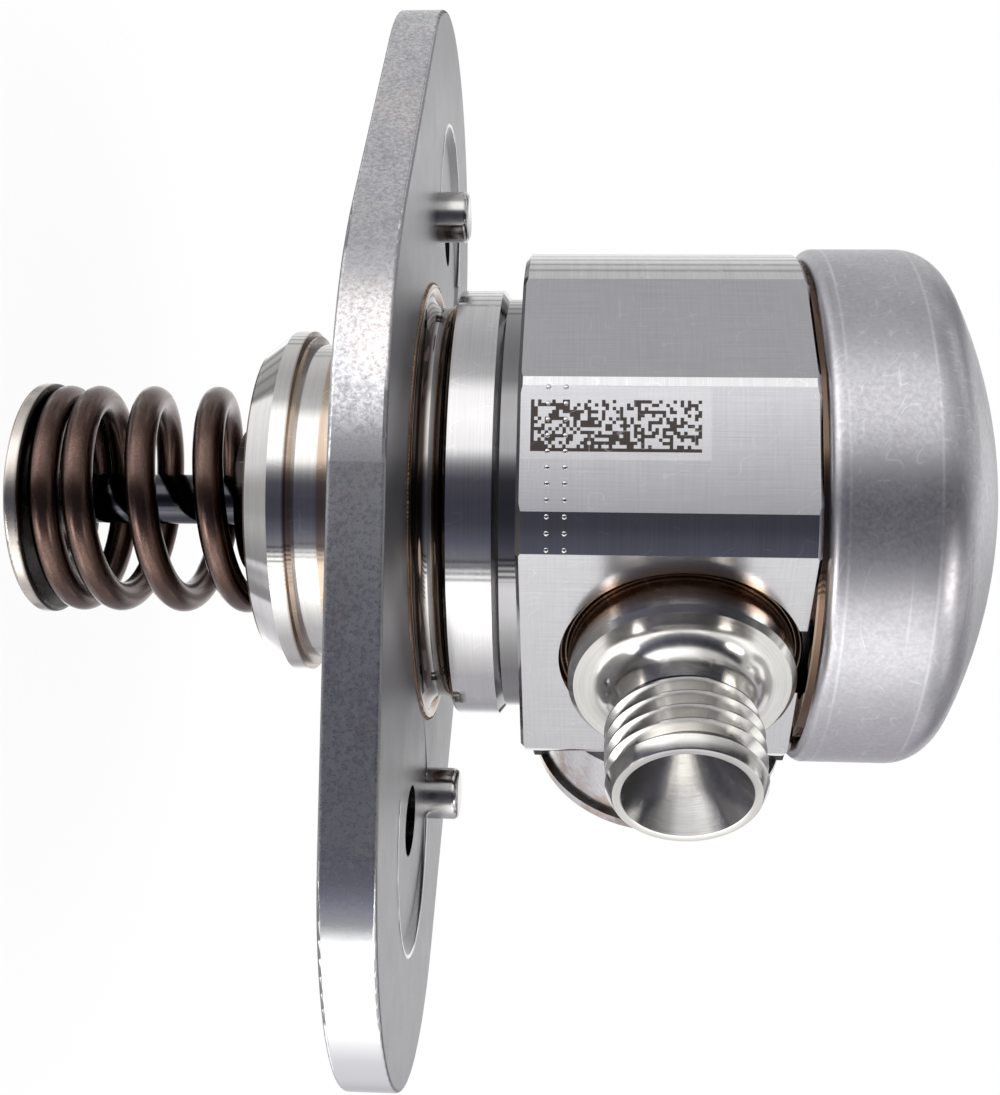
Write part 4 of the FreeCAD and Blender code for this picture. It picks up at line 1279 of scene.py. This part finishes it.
@dataclass
class OutletFitting:
    """The outlet with its flange, neck, rolled thread and sealing cone, along the port's axis."""

    shank_radius: float = 7.0 * MM
    shank_start: float = 13.0 * MM
    seat_floor: float = 20.4 * MM
    flange_radius: float = 10.3 * MM
    face: float = 24.9 * MM
    flange_chamfer: float = 0.5 * MM
    neck_radius: float = 6.1 * MM
    neck_fillet: float = 2.4 * MM
    thread_radius: float = 7.0 * MM
    root_radius: float = 6.12 * MM
    thread_start: float = 28.8 * MM
    thread_end: float = 35.95 * MM
    thread_pitch: float = 1.5 * MM
    thread_run_out: float = 0.9 * MM
    thread_lead: float = 0.35 * MM
    flank_foot: float = 0.68
    flank_crest: float = 0.10
    steps_per_turn: int = 96
    whole_turns: int = 5
    lip_radius: float = 6.46 * MM
    lip_edge: float = 0.12 * MM
    mouth: float = 37.05 * MM
    cone_radius: float = 5.63 * MM
    bore_radius: float = 1.75 * MM
    chamber_radius: float = 4.5 * MM
    chamber_end: float = 21.0 * MM
    cone_half_angle: float = 30.0
    spokes: int = 224

    def profile(self) -> list[tuple[float, float]]:
        """Give the turned profile without the thread's ridge."""
        c = self.flange_chamfer
        fillet = self.neck_fillet
        neck_end = self.thread_start - 0.2 * MM
        slope = math.tan(math.radians(self.cone_half_angle))
        cone_start = self.mouth - (self.cone_radius - self.bore_radius) / slope
        edge = self.lip_edge
        points = [
            (self.chamber_radius, self.shank_start),
            (self.shank_radius, self.shank_start),
            (self.shank_radius, self.seat_floor),
            (self.flange_radius, self.seat_floor),
            (self.flange_radius, self.face - c),
            (self.flange_radius - c, self.face),
        ]
        points += arc((self.neck_radius + fillet, self.face + fillet), fillet, 270, 180, 14)
        points += [
            (self.neck_radius, neck_end),
            (self.root_radius, self.thread_start),
            (self.root_radius, self.thread_end - self.thread_run_out),
            (self.thread_radius - 0.05 * MM, self.thread_end - 0.02 * MM),
            (self.thread_radius - 0.12 * MM, self.thread_end + 0.12 * MM),
            (self.lip_radius, self.mouth - edge),
            (self.lip_radius - edge, self.mouth),
            (self.cone_radius + edge, self.mouth),
            (self.cone_radius, self.mouth - edge * 0.4),
            (self.bore_radius, cone_start),
            (self.bore_radius, self.chamber_end),
            (self.chamber_radius, self.chamber_end),
        ]
        return points

    def build(self) -> None:
        """Turn the fitting and wind its thread."""
        steel = TurnedSteel(
            "outlet_steel", axis=OUTLET_AXIS, tone=(0.76, 0.745, 0.715), roughness=0.15, streak=0.22,
            ring_pitch=0.16 * MM, ring_depth=0.0014 * MM, anisotropic=0.8,
            tints=(Tint(self.seat_floor, 4.2 * MM, (0.50, 0.34, 0.22)),),
        ).make()
        # Painted shade: the faces at the thread's root are given a dark steel between the crests.
        root = TurnedSteel(
            "thread_root_steel", axis=OUTLET_AXIS, tone=(0.16, 0.155, 0.16), roughness=0.12, streak=0.1,
        ).make()
        body = piece("outlet_stub", turned_mesh("outlet_stub", OUTLET_AXIS, self.profile(), self.spokes))
        body.data.materials.append(steel)
        body.data.materials.append(root)
        # Faces at the root radius along the thread take the painted shade.
        for face in body.data.polygons:
            out = face.center - OUTLET_AXIS.origin
            along = out.dot(OUTLET_AXIS.direction)
            radius = (out - OUTLET_AXIS.direction * along).length
            threaded = self.thread_start < along < self.thread_end - 0.85 * MM
            face.material_index = int(threaded and abs(radius - self.root_radius) < 0.05 * MM)
        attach(body, "housing")
        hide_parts("outlet_fitting")
        report("Outlet", body)
        ridge = self.thread(steel)
        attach(ridge, "housing")
        report("Outlet", ridge)

    def thread(self, steel: bpy.types.Material) -> bpy.types.Object:
        """Wind the thread's ridge on the port's axis.

        Args:
            steel: The fitting's finish.

        Returns:
            The ridge as a piece.
        """
        recipe = GeometryRecipe("thread_ridge")
        material = recipe.size("Steel", steel)
        pitch = recipe.size("Pitch", self.thread_pitch)
        root = recipe.size("Root radius", self.root_radius)
        rise = recipe.size("Ridge height", self.thread_radius - self.root_radius)
        length = self.thread_end - self.thread_start - self.thread_run_out
        turns = recipe.size("Turns", length / self.thread_pitch)
        line = recipe.add("GeometryNodeCurvePrimitiveLine")
        fine = recipe.add("GeometryNodeResampleCurve", {
            "Curve": line.outputs[0], "Count": self.steps_per_turn * self.whole_turns,
        })
        share = recipe.add("GeometryNodeSplineParameter").outputs["Factor"]
        turn = recipe.math("MULTIPLY", share, turns)
        angle = recipe.math("MULTIPLY", turn, 2 * math.pi)
        place = recipe.add("ShaderNodeCombineXYZ", {
            0: recipe.math("MULTIPLY", recipe.math("COSINE", angle), root),
            1: recipe.math("MULTIPLY", recipe.math("SINE", angle), root),
            2: recipe.math("MULTIPLY", turn, pitch),
        })
        helix = recipe.add("GeometryNodeSetPosition", {
            "Geometry": fine.outputs[0], "Position": place.outputs[0],
        })
        upright = recipe.add("GeometryNodeSetCurveNormal", {"Curve": helix.outputs[0]}, mode="Z_UP")
        lead = recipe.math("MINIMUM", recipe.math("MULTIPLY", share, 9.0), 1.0)
        tail = recipe.math("MINIMUM", recipe.math("MULTIPLY", recipe.math("SUBTRACT", 1.0, share), 9.0), 1.0)
        swell = recipe.math("MULTIPLY", recipe.math("MULTIPLY", lead, tail), rise)
        flank = recipe.add("GeometryNodeCurvePrimitiveQuadrilateral", mode="POINTS")
        foot, crest = self.flank_foot, self.flank_crest
        corners = ((foot, -0.1), (crest, 1.0), (-crest, 1.0), (-foot, -0.1))
        for name, (across, out) in zip(("Point 1", "Point 2", "Point 3", "Point 4"), corners):
            flank.inputs[name].default_value = (out, across, 0.0)
        swept = recipe.add("GeometryNodeCurveToMesh", {
            "Curve": upright.outputs[0], "Profile Curve": flank.outputs[0], "Scale": swell, "Fill Caps": True,
        })
        ridge = recipe.realise("outlet_thread", swept.outputs[0], material)
        turn_to_axis = OUTLET_AXIS.direction.to_track_quat("Z", "Y").to_matrix().to_4x4()
        start = OUTLET_AXIS.origin + OUTLET_AXIS.direction * (self.thread_start + self.thread_lead)
        ridge.data.transform(Matrix.Translation(start) @ turn_to_axis)
        shade_by_angle(ridge.data, SHARP_TURNED)
        return ridge


@dataclass
class SealCarrier:
    """The turned carrier under the flange, the plunger, its seal and the spring retainer."""

    rim: float = -11.6 * MM
    groove: float = -6.9 * MM
    pocket_radius: float = 12.9 * MM

    def build(self) -> None:
        """Dress the nodes."""
        # The carrier is painted dark as shade within the pocket's radius.
        steel = TurnedSteel(
            "carrier_steel", tone=(0.70, 0.69, 0.675), roughness=0.085, dark_core=self.pocket_radius,
            tints=(
                Tint(self.groove, 0.75 * MM, (0.30, 0.23, 0.18)),
                Tint(self.rim, 0.22 * MM, (0.13, 0.085, 0.06)),
            ),
        )
        dress_node("seal_carrier", steel.make())
        # The retainer's upward faces are painted dark as the shade under the spring.
        nickel = GroundMetal(
            "nickel_retainer", tone=(0.60, 0.55, 0.50), roughness=0.27, upward_shade=(0.035, 0.028, 0.025),
        )
        dress_node("spring_retainer", nickel.make())
        plunger = GroundMetal("black_plunger", tone=(0.07, 0.072, 0.082), roughness=0.06)
        dress_node("plunger", plunger.make())
        dress_node("plunger_seal", Moulding("seal_black", tone=(0.03, 0.03, 0.032)).make())
        log.info("Seal carrier: 4 nodes dressed")


@dataclass
class MountingFlange:
    """The rolled plate with its weld bead and two guide pins."""

    top: float = 4.8 * MM
    hole_circle: float = 33.4 * MM
    coin_radius: float = 11.2 * MM
    coin_shift: float = 1.2 * MM
    rim_radius: float = 0.2 * MM
    rim_start: float = -92.0
    rim_sweep: float = 205.0

    def build(self) -> None:
        """Dress the nodes and raise the burnished rims of the coined seats."""
        rims = self.coin_rims()
        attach(rims, "housing")
        report("Mounting flange", rims)
        dress_node("mounting_flange", PlateSteel("flange_plate").make())
        weld = GroundMetal("weld_brown", tone=(0.30, 0.21, 0.15), roughness=0.14, grain=2600.0)
        dress_node("flange_weld", weld.make())
        pin = GroundMetal("pin_steel_satin", tone=(0.62, 0.61, 0.60), roughness=0.15).make()
        for name in ("guide_pin_1", "guide_pin_2"):
            dress_node(name, pin)
        log.info("Mounting flange: 4 nodes dressed")

    def coin_rims(self) -> bpy.types.Object:
        """Sweep a low bead round the open side of each coined seat."""
        recipe = GeometryRecipe("coin_rims")
        steel = recipe.size("Steel", GroundMetal("rim_steel", tone=(0.80, 0.80, 0.80), roughness=0.12).make())
        radius = recipe.size("Coin radius", self.coin_radius)
        bead = recipe.size("Bead radius", self.rim_radius)
        sweep = recipe.size("Sweep", math.radians(self.rim_sweep))
        start = recipe.size("Start", math.radians(self.rim_start))
        path = recipe.add("GeometryNodeCurveArc", {
            "Resolution": 120, "Radius": radius, "Start Angle": start, "Sweep Angle": sweep,
        })
        section = recipe.add("GeometryNodeCurvePrimitiveCircle", {"Resolution": 10, "Radius": bead})
        rim = recipe.add("GeometryNodeCurveToMesh", {
            "Curve": path.outputs[0], "Profile Curve": section.outputs[0], "Fill Caps": True,
        })
        low = recipe.add("GeometryNodeTransform", {
            "Geometry": rim.outputs[0], "Scale": (1.0, 1.0, 0.45),
            "Translation": (self.hole_circle + self.coin_shift, 0.0, self.top),
        })
        other = recipe.add("GeometryNodeTransform", {
            "Geometry": low.outputs[0], "Rotation": (0.0, 0.0, math.pi),
        })
        both = recipe.add("GeometryNodeJoinGeometry")
        for part in (low, other):
            recipe.tree.links.new(part.outputs[0], both.inputs[0])
        made = recipe.realise("coin_rims", both.outputs[0], steel)
        shade_by_angle(made.data, SHARP_BEAD)
        return made


@dataclass
class DamperCap:
    """The drawn cap and the pressure damper inside it."""

    # Places along the axis of the painted highlight lines on the cap.
    highlight_lines: tuple[float, ...] = (42.9 * MM, 50.6 * MM)

    def build(self) -> None:
        """Dress the nodes."""
        dress_node("damper_cap", BlastedSteel("blasted_cap", highlight_lines=self.highlight_lines).make())
        inner = GroundMetal("damper_steel", tone=(0.58, 0.58, 0.585), roughness=0.2).make()
        for name in (
            "damper_ring_lower", "damper_capsule_lower", "damper_ring_middle", "damper_capsule_upper",
            "damper_ring_upper",
        ):
            dress_node(name, inner)
        log.info("Damper cap: 6 nodes dressed")


@dataclass
class SolenoidValve:
    """The solenoid with its connector and the inlet valve that it works."""

    def build(self) -> None:
        """Dress the nodes."""
        can = BlastedSteel(
            "solenoid_sheet", tone=(0.58, 0.57, 0.565), roughness=0.2, scuff=0.7, stain=(0.34, 0.25, 0.19),
        ).make()
        iron = GroundMetal("magnet_iron_grey", tone=(0.40, 0.40, 0.41), roughness=0.32).make()
        plastic = Moulding("black_connector", tone=(0.014, 0.014, 0.015)).make()
        tin = GroundMetal("tinned_terminal", tone=(0.70, 0.69, 0.66), roughness=0.24).make()
        valve = GroundMetal("valve_steel", tone=(0.56, 0.56, 0.565), roughness=0.2).make()
        copper = GroundMetal("coil_copper", tone=(0.70, 0.36, 0.20), roughness=0.3).make()
        finishes = {
            "solenoid_can": can, "solenoid_cover": can, "pole_core": iron, "armature": iron,
            "connector_shell": plastic, "coil_bobbin": plastic, "connector_terminal_1": tin,
            "connector_terminal_2": tin, "solenoid_coil": copper, "inlet_valve_seat": valve,
            "inlet_valve": valve,
        }
        for name, finish in finishes.items():
            dress_node(name, finish)
        log.info("Solenoid valve: %d nodes dressed", len(finishes))


@dataclass
class Passages:
    """The inlet fitting and the small parts inside the bores."""

    def build(self) -> None:
        """Dress the nodes."""
        dress_node("inlet_fitting", TurnedSteel("inlet_steel", axis=INLET_AXIS, roughness=0.11).make())
        inner = GroundMetal("inner_steel", tone=(0.56, 0.56, 0.565), roughness=0.2).make()
        for name in (
            "cylinder_sleeve", "outlet_valve_seat", "outlet_valve_ball", "outlet_valve_cage", "inlet_filter",
        ):
            dress_node(name, inner)
        log.info("Passages: 6 nodes dressed")


# Studio and camera


@dataclass
class Studio:
    """Soft light all round, brighter in bands, with a white ground and a pale floor.

    A turn is the angle about the pump axis from the camera, and a rise the angle towards that axis.

    Args:
        camera_azimuth: Direction from the pump to the camera.
        camera_distance: Distance of the camera from the pump axis.
        camera_height: Place of the camera along the pump axis.
        yaw: Turn of the camera away from the axis.
        pitch: Tilt of the camera.
        roll: Turn of the picture.
        focal_pixels: Focal length in pixels of the photograph.
        image_height: Height of the photograph in pixels.
        sensor: Width of the sensor in millimetres.
        end_rise: Rises between which the bands give way to the even ends of the studio.
        end_level: Brightness of the ends.
        lamp_pitch: Spacing of the rows of small lamps.
        lamp_zone: Turns between which the rows show at any rise.
        lamp_side_zone: Turns between which they show to the sides alone.
        lamp_side_rise: Rises between which the sides begin.
        lamp_gap: Light that is missing between the rows.
        slat_pitch: Spacing of the slats behind the pump.
        slat_zone: Turns between which the slats stand.
        slat_gap: Light that is missing between the slats.
        slot_turn: Turns between which the narrow dark slot lies.
        slot_rise: Rises between which the slot lies.
        slot_gap: Light that is missing in the slot.
        panel_size: Panels per unit of direction.
        panel_contrast: How far the panels differ in brightness.
        panel_rise: Rises between which the panels begin.
        panel_turn: Turns between which the panels begin.
        front_turn: Turns between which the light in front begins.
        front_stops: Brightness of the light in front by rise.
        rear_turn: Turns between which the light behind begins to fall.
        rear_rise: Rises between which it falls.
        rear_gap: Light that is missing behind.
        spot_turn: Turn of the two small lamps.
        spot_rise: Rise of the lamps, to either side.
        spot_edge: Cosines of the lamps' outer and inner edge.
        spot_level: Brightness of the lamps.
        spot_colour: Colour of the lamps.
        floor_height: Place of the floor along the pump axis.
        floor_radius: Radius of the floor.
        floor_shadow: Share of the shadow that the camera sees on the floor.
        light_bands: Brightness of the bands by turn.
    """

    camera_azimuth: float = -64.44
    camera_distance: float = 147.3 * MM
    camera_height: float = 20.56 * MM
    yaw: float = 3.42
    pitch: float = -1.79
    roll: float = 0.70
    focal_pixels: float = 1422.0
    image_height: float = 1095.0
    sensor: float = 36.0
    end_rise: tuple[float, float] = (76.0, 85.0)
    end_level: float = 0.5
    lamp_pitch: float = 3.3
    lamp_zone: tuple[float, float] = (-43.0, -30.0)
    lamp_side_zone: tuple[float, float] = (-60.0, -43.0)
    lamp_side_rise: tuple[float, float] = (9.0, 15.0)
    lamp_gap: float = 0.82
    slat_pitch: float = 8.0
    slat_zone: tuple[float, float] = (126.0, 172.0)
    slat_gap: float = 0.5
    slot_turn: tuple[float, float] = (97.0, 112.0)
    slot_rise: tuple[float, float] = (0.0, 6.0)
    slot_gap: float = 0.85
    panel_size: float = 3.4
    panel_contrast: float = 1.1
    panel_rise: tuple[float, float] = (16.0, 24.0)
    panel_turn: tuple[float, float] = (62.0, 72.0)
    front_turn: tuple[float, float] = (95.0, 70.0)
    front_stops: tuple[tuple[float, float], ...] = (
        (-90, 0.45), (-62, 0.55), (-48, 0.8), (-34, 0.95), (-14, 0.62), (14, 0.5), (28, 0.32),
        (60, 0.2), (90, 0.25),
    )
    rear_turn: tuple[float, float] = (95.0, 120.0)
    rear_rise: tuple[float, float] = (15.0, 40.0)
    rear_gap: float = 0.4
    spot_turn: float = -38.0
    spot_rise: float = 43.0
    spot_edge: tuple[float, float] = (0.983, 0.993)
    spot_level: float = 5.0
    spot_colour: Colour = (1.0, 0.97, 0.93)
    floor_height: float = -36.62 * MM
    floor_radius: float = 90.0 * MM
    floor_shadow: float = 0.05
    light_bands: tuple[tuple[float, Colour], ...] = (
        (-180, (1.10, 1.10, 1.10)), (-160, (1.01, 1.01, 1.01)), (-150, (0.60, 0.60, 0.61)),
        (-140, (0.48, 0.47, 0.50)), (-125, (0.64, 0.63, 0.66)), (-105, (0.68, 0.67, 0.70)),
        (-90, (0.99, 0.99, 0.99)), (-75, (1.40, 1.40, 1.40)), (-62, (2.0, 2.0, 2.0)),
        (-48, (2.2, 2.2, 2.2)), (-38, (1.60, 1.60, 1.61)), (-32, (0.26, 0.26, 0.29)),
        (-20, (0.12, 0.125, 0.165)), (-10, (0.066, 0.066, 0.088)), (0, (0.060, 0.060, 0.082)),
        (12, (0.085, 0.083, 0.105)), (18, (0.22, 0.22, 0.24)), (22, (0.48, 0.48, 0.50)),
        (28, (1.30, 1.30, 1.31)), (34, (1.36, 1.36, 1.36)),
        (45, (1.50, 1.50, 1.50)), (60, (1.38, 1.38, 1.38)), (70, (0.62, 0.62, 0.63)),
        (80, (0.55, 0.55, 0.56)), (95, (0.60, 0.60, 0.61)), (115, (0.73, 0.73, 0.74)),
        (135, (0.80, 0.80, 0.80)), (150, (1.07, 1.07, 1.07)), (180, (1.10, 1.10, 1.10)),
    )

    def build(self) -> None:
        """Set up the light, the floor and the camera."""
        scene = bpy.context.scene
        scene.view_settings.view_transform = "Standard"
        scene.world = self.world()
        self.floor()
        scene.camera = self.camera()

    def towards_camera(self) -> Vector:
        """Give the level direction from the pump axis to the camera."""
        turn = math.radians(self.camera_azimuth)
        return Vector((math.cos(turn), math.sin(turn), 0))

    def world(self) -> bpy.types.World:
        """Build the light that comes from all directions."""
        world = bpy.data.worlds.new("studio")
        world.use_nodes = True
        g = Graph(world.node_tree)
        g.tree.nodes.clear()
        direction = g.add("ShaderNodeTexCoord").outputs["Generated"]
        front = self.towards_camera()
        above = Vector((front.y, -front.x, 0))
        angle = g.math("ARCTAN2", g.dot(direction, above), g.dot(direction, front))
        share = g.math("MULTIPLY_ADD", angle, 1 / (2 * math.pi), 0.5)
        peak = max(max(colour) for _, colour in self.light_bands)
        stops = [
            ((place + 180) / 360, tuple(part / peak for part in colour)) for place, colour in self.light_bands
        ]
        bands = g.ramp(share, stops)
        turn = g.math("MULTIPLY", angle, 180 / math.pi)
        rise = g.math("MULTIPLY", g.math("ARCSINE", g.dot(direction, (0, 0, 1))), 180 / math.pi)
        bands = g.scaled(bands, self.lamp_rows(g, turn, rise))
        bands = g.scaled(bands, self.side_panels(g, direction, turn, rise))
        bands = g.scaled(bands, self.front_slope(g, turn, rise))
        bands = g.vector("ADD", bands, g.scaled(self.spot_colour, self.spots(g, direction, peak))).outputs[0]
        ends = g.smooth(g.math("ABSOLUTE", rise), *self.end_rise)
        level = self.end_level / peak
        glow = g.mix(ends, bands, (level, level, level))
        light = g.add("ShaderNodeBackground")
        g.feed(light.inputs["Color"], glow)
        g.feed(light.inputs["Strength"], peak)
        ground = g.add("ShaderNodeBackground")
        g.feed(ground.inputs["Color"], (1.0, 1.0, 1.0))
        both = g.add("ShaderNodeMixShader")
        g.feed(both.inputs[0], g.add("ShaderNodeLightPath").outputs["Is Camera Ray"])
        g.feed(both.inputs[1], light.outputs[0])
        g.feed(both.inputs[2], ground.outputs[0])
        out = g.add("ShaderNodeOutputWorld")
        g.feed(out.inputs["Surface"], both.outputs[0])
        return world

    def lamp_rows(self, g: Graph, turn: Socket, rise: Socket) -> Socket:
        """Give the factor that splits the edge of the brightest panel into rows of small lamps.

        Args:
            g: The world's nodes.
            turn: Angle about the pump axis from the camera, in degrees.
            rise: Angle towards the pump axis, in degrees.

        Returns:
            1 where the light stays whole and less between the rows.
        """
        wave = g.math("SINE", g.math("MULTIPLY", turn, 2 * math.pi / self.lamp_pitch))
        between = g.smooth(wave, 0.25, -0.25)
        away = g.smooth(g.math("ABSOLUTE", rise), *self.lamp_side_rise)
        near = g.band(turn, *self.lamp_zone, 1.0)
        far = g.math("MULTIPLY", g.band(turn, *self.lamp_side_zone, 1.0), away)
        mask = g.math("MAXIMUM", near, far)
        gaps = g.math("MULTIPLY", g.math("MULTIPLY", mask, between), self.lamp_gap)
        rows = g.math("SUBTRACT", 1.0, gaps)
        slats = g.smooth(g.math("SINE", g.math("MULTIPLY", turn, 2 * math.pi / self.slat_pitch)), 0.4, 0.9)
        slats = g.math("MULTIPLY", slats, g.band(turn, *self.slat_zone, 4.0))
        open_part = g.math("SUBTRACT", 1.0, g.math("MULTIPLY", slats, self.slat_gap))
        return g.math("MULTIPLY", rows, open_part)

    def side_panels(self, g: Graph, direction: Socket, turn: Socket, rise: Socket) -> Socket:
        """Give the factor that breaks the light from the sides into bright and dark panels.

        Args:
            g: The world's nodes.
            direction: Where a ray points.
            turn: Angle about the pump axis from the camera, in degrees.
            rise: Angle towards the pump axis, in degrees.

        Returns:
            The light's factor.
        """
        slot = g.math("MULTIPLY", g.band(turn, *self.slot_turn, 2.0), g.band(rise, *self.slot_rise, 1.5))
        panels = g.smooth(g.noise(direction, self.panel_size, 1.0), 0.47, 0.53)
        away = g.smooth(g.math("ABSOLUTE", rise), *self.panel_rise)
        behind = g.smooth(g.math("ABSOLUTE", turn), *self.panel_turn)
        contrast = g.math("MULTIPLY", away, self.panel_contrast)
        panels = g.math("MULTIPLY_ADD", g.math("SUBTRACT", panels, 0.42), contrast, 1.0)
        mixed = g.math("MULTIPLY_ADD", g.math("SUBTRACT", panels, 1.0), behind, 1.0)
        return g.math("MULTIPLY", mixed, g.math("SUBTRACT", 1.0, g.math("MULTIPLY", slot, self.slot_gap)))

    def front_slope(self, g: Graph, turn: Socket, rise: Socket) -> Socket:
        """Give the factor that lifts the light before the spring and dims it on the cap's side.

        Args:
            g: The world's nodes.
            turn: Angle about the pump axis from the camera, in degrees.
            rise: Angle towards the pump axis, in degrees.

        Returns:
            The light's factor.
        """
        share = g.math("MULTIPLY_ADD", rise, 1 / 180, 0.5)
        curve = g.ramp(share, [((at + 90) / 180, level) for at, level in self.front_stops])
        front = g.smooth(g.math("ABSOLUTE", turn), *self.front_turn)
        factor = g.math("MULTIPLY", g.split(curve)[0], 2.0)
        behind = g.smooth(g.math("ABSOLUTE", turn), *self.rear_turn)
        shade = g.math("MULTIPLY", behind, g.smooth(rise, *self.rear_rise))
        level = g.math("MULTIPLY_ADD", g.math("SUBTRACT", factor, 1.0), front, 1.0)
        return g.math("MULTIPLY", level, g.math("MULTIPLY_ADD", shade, -self.rear_gap, 1.0))

    def spots(self, g: Graph, direction: Socket, peak: float) -> Socket:
        """Give the two small lamps low in front, one towards each end of the pump.

        Args:
            g: The world's nodes.
            direction: Where a ray points.
            peak: The level that the light's colour is written against.

        Returns:
            The lamps' level.
        """
        total: object = 0.0
        for rise in (-self.spot_rise, self.spot_rise):
            turn = math.radians(self.camera_azimuth - self.spot_turn)
            flat = math.cos(math.radians(rise))
            aim = (flat * math.cos(turn), flat * math.sin(turn), math.sin(math.radians(rise)))
            total = g.math("ADD", g.smooth(g.dot(direction, aim), *self.spot_edge), total)
        return g.math("MULTIPLY", total, self.spot_level / peak)

    def floor(self) -> None:
        """Lay the pale floor just under the plunger's foot."""
        disc = bmesh.new()
        bmesh.ops.create_circle(disc, cap_ends=True, radius=self.floor_radius, segments=96)
        mesh = bpy.data.meshes.new("floor")
        disc.to_mesh(mesh)
        disc.free()
        mesh.transform(Matrix.Translation((0, 0, self.floor_height)))
        mesh.materials.append(self.floor_paint())
        piece("floor", mesh)

    def floor_paint(self) -> bpy.types.Material:
        """Build the floor's paint, which the camera sees as white with a faint shadow."""
        paint = bpy.data.materials.new("floor_paint")
        paint.use_nodes = True
        g = Graph(paint.node_tree)
        g.tree.nodes.clear()
        matt = g.add("ShaderNodeBsdfDiffuse")
        g.feed(matt.inputs["Color"], (0.95, 0.95, 0.95))
        glow = g.add("ShaderNodeEmission")
        reach = g.vector("LENGTH", g.add("ShaderNodeTexCoord").outputs["Object"]).outputs["Value"]
        faded = g.smooth(reach, self.floor_radius * 0.92, self.floor_radius * 0.5)
        seen = g.math("MULTIPLY_ADD", faded, -self.floor_shadow, 1.0)
        seen = g.math("MULTIPLY", g.add("ShaderNodeLightPath").outputs["Is Camera Ray"], seen)
        both = g.add("ShaderNodeMixShader")
        g.feed(both.inputs[0], seen)
        g.feed(both.inputs[1], matt.outputs[0])
        g.feed(both.inputs[2], glow.outputs[0])
        open_floor = g.add("ShaderNodeMixShader")
        g.feed(open_floor.inputs[0], g.add("ShaderNodeLightPath").outputs["Is Glossy Ray"])
        g.feed(open_floor.inputs[1], both.outputs[0])
        g.feed(open_floor.inputs[2], g.add("ShaderNodeBsdfTransparent").outputs[0])
        out = g.add("ShaderNodeOutputMaterial")
        g.feed(out.inputs["Surface"], open_floor.outputs[0])
        return paint

    def camera(self) -> bpy.types.Object:
        """Place the camera as the photograph was taken, with the pump lying on its side."""
        data = bpy.data.cameras.new("photo_camera")
        data.sensor_width = self.sensor
        data.lens = self.focal_pixels * self.sensor / self.image_height
        data.clip_start = 0.005
        data.clip_end = 20.0
        back = self.towards_camera()
        lying = Matrix(((0, 0, 1), (back.y, -back.x, 0), tuple(back))).transposed()
        aim = Matrix.Rotation(math.radians(self.yaw), 3, "Y")
        aim = aim @ Matrix.Rotation(math.radians(self.pitch), 3, "X")
        aim = aim @ Matrix.Rotation(math.radians(self.roll), 3, "Z")
        place = back * self.camera_distance + Vector((0, 0, self.camera_height))
        made = bpy.data.objects.new("photo_camera", data)
        made.matrix_world = Matrix.Translation(place) @ (lying @ aim).to_4x4()
        bpy.context.scene.collection.objects.link(made)
        return made


def main() -> None:
    """Build the sub-assemblies in order."""
    logging.basicConfig(level=logging.INFO, format="%(name)s: %(message)s")
    Studio().build()
    for assembly in (
        Housing(), MountingFlange(), SealCarrier(), ReturnSpring(), OutletFitting(), DamperCap(),
        SolenoidValve(), Passages(),
    ):
        assembly.build()


if __name__ == "__main__":
    main()
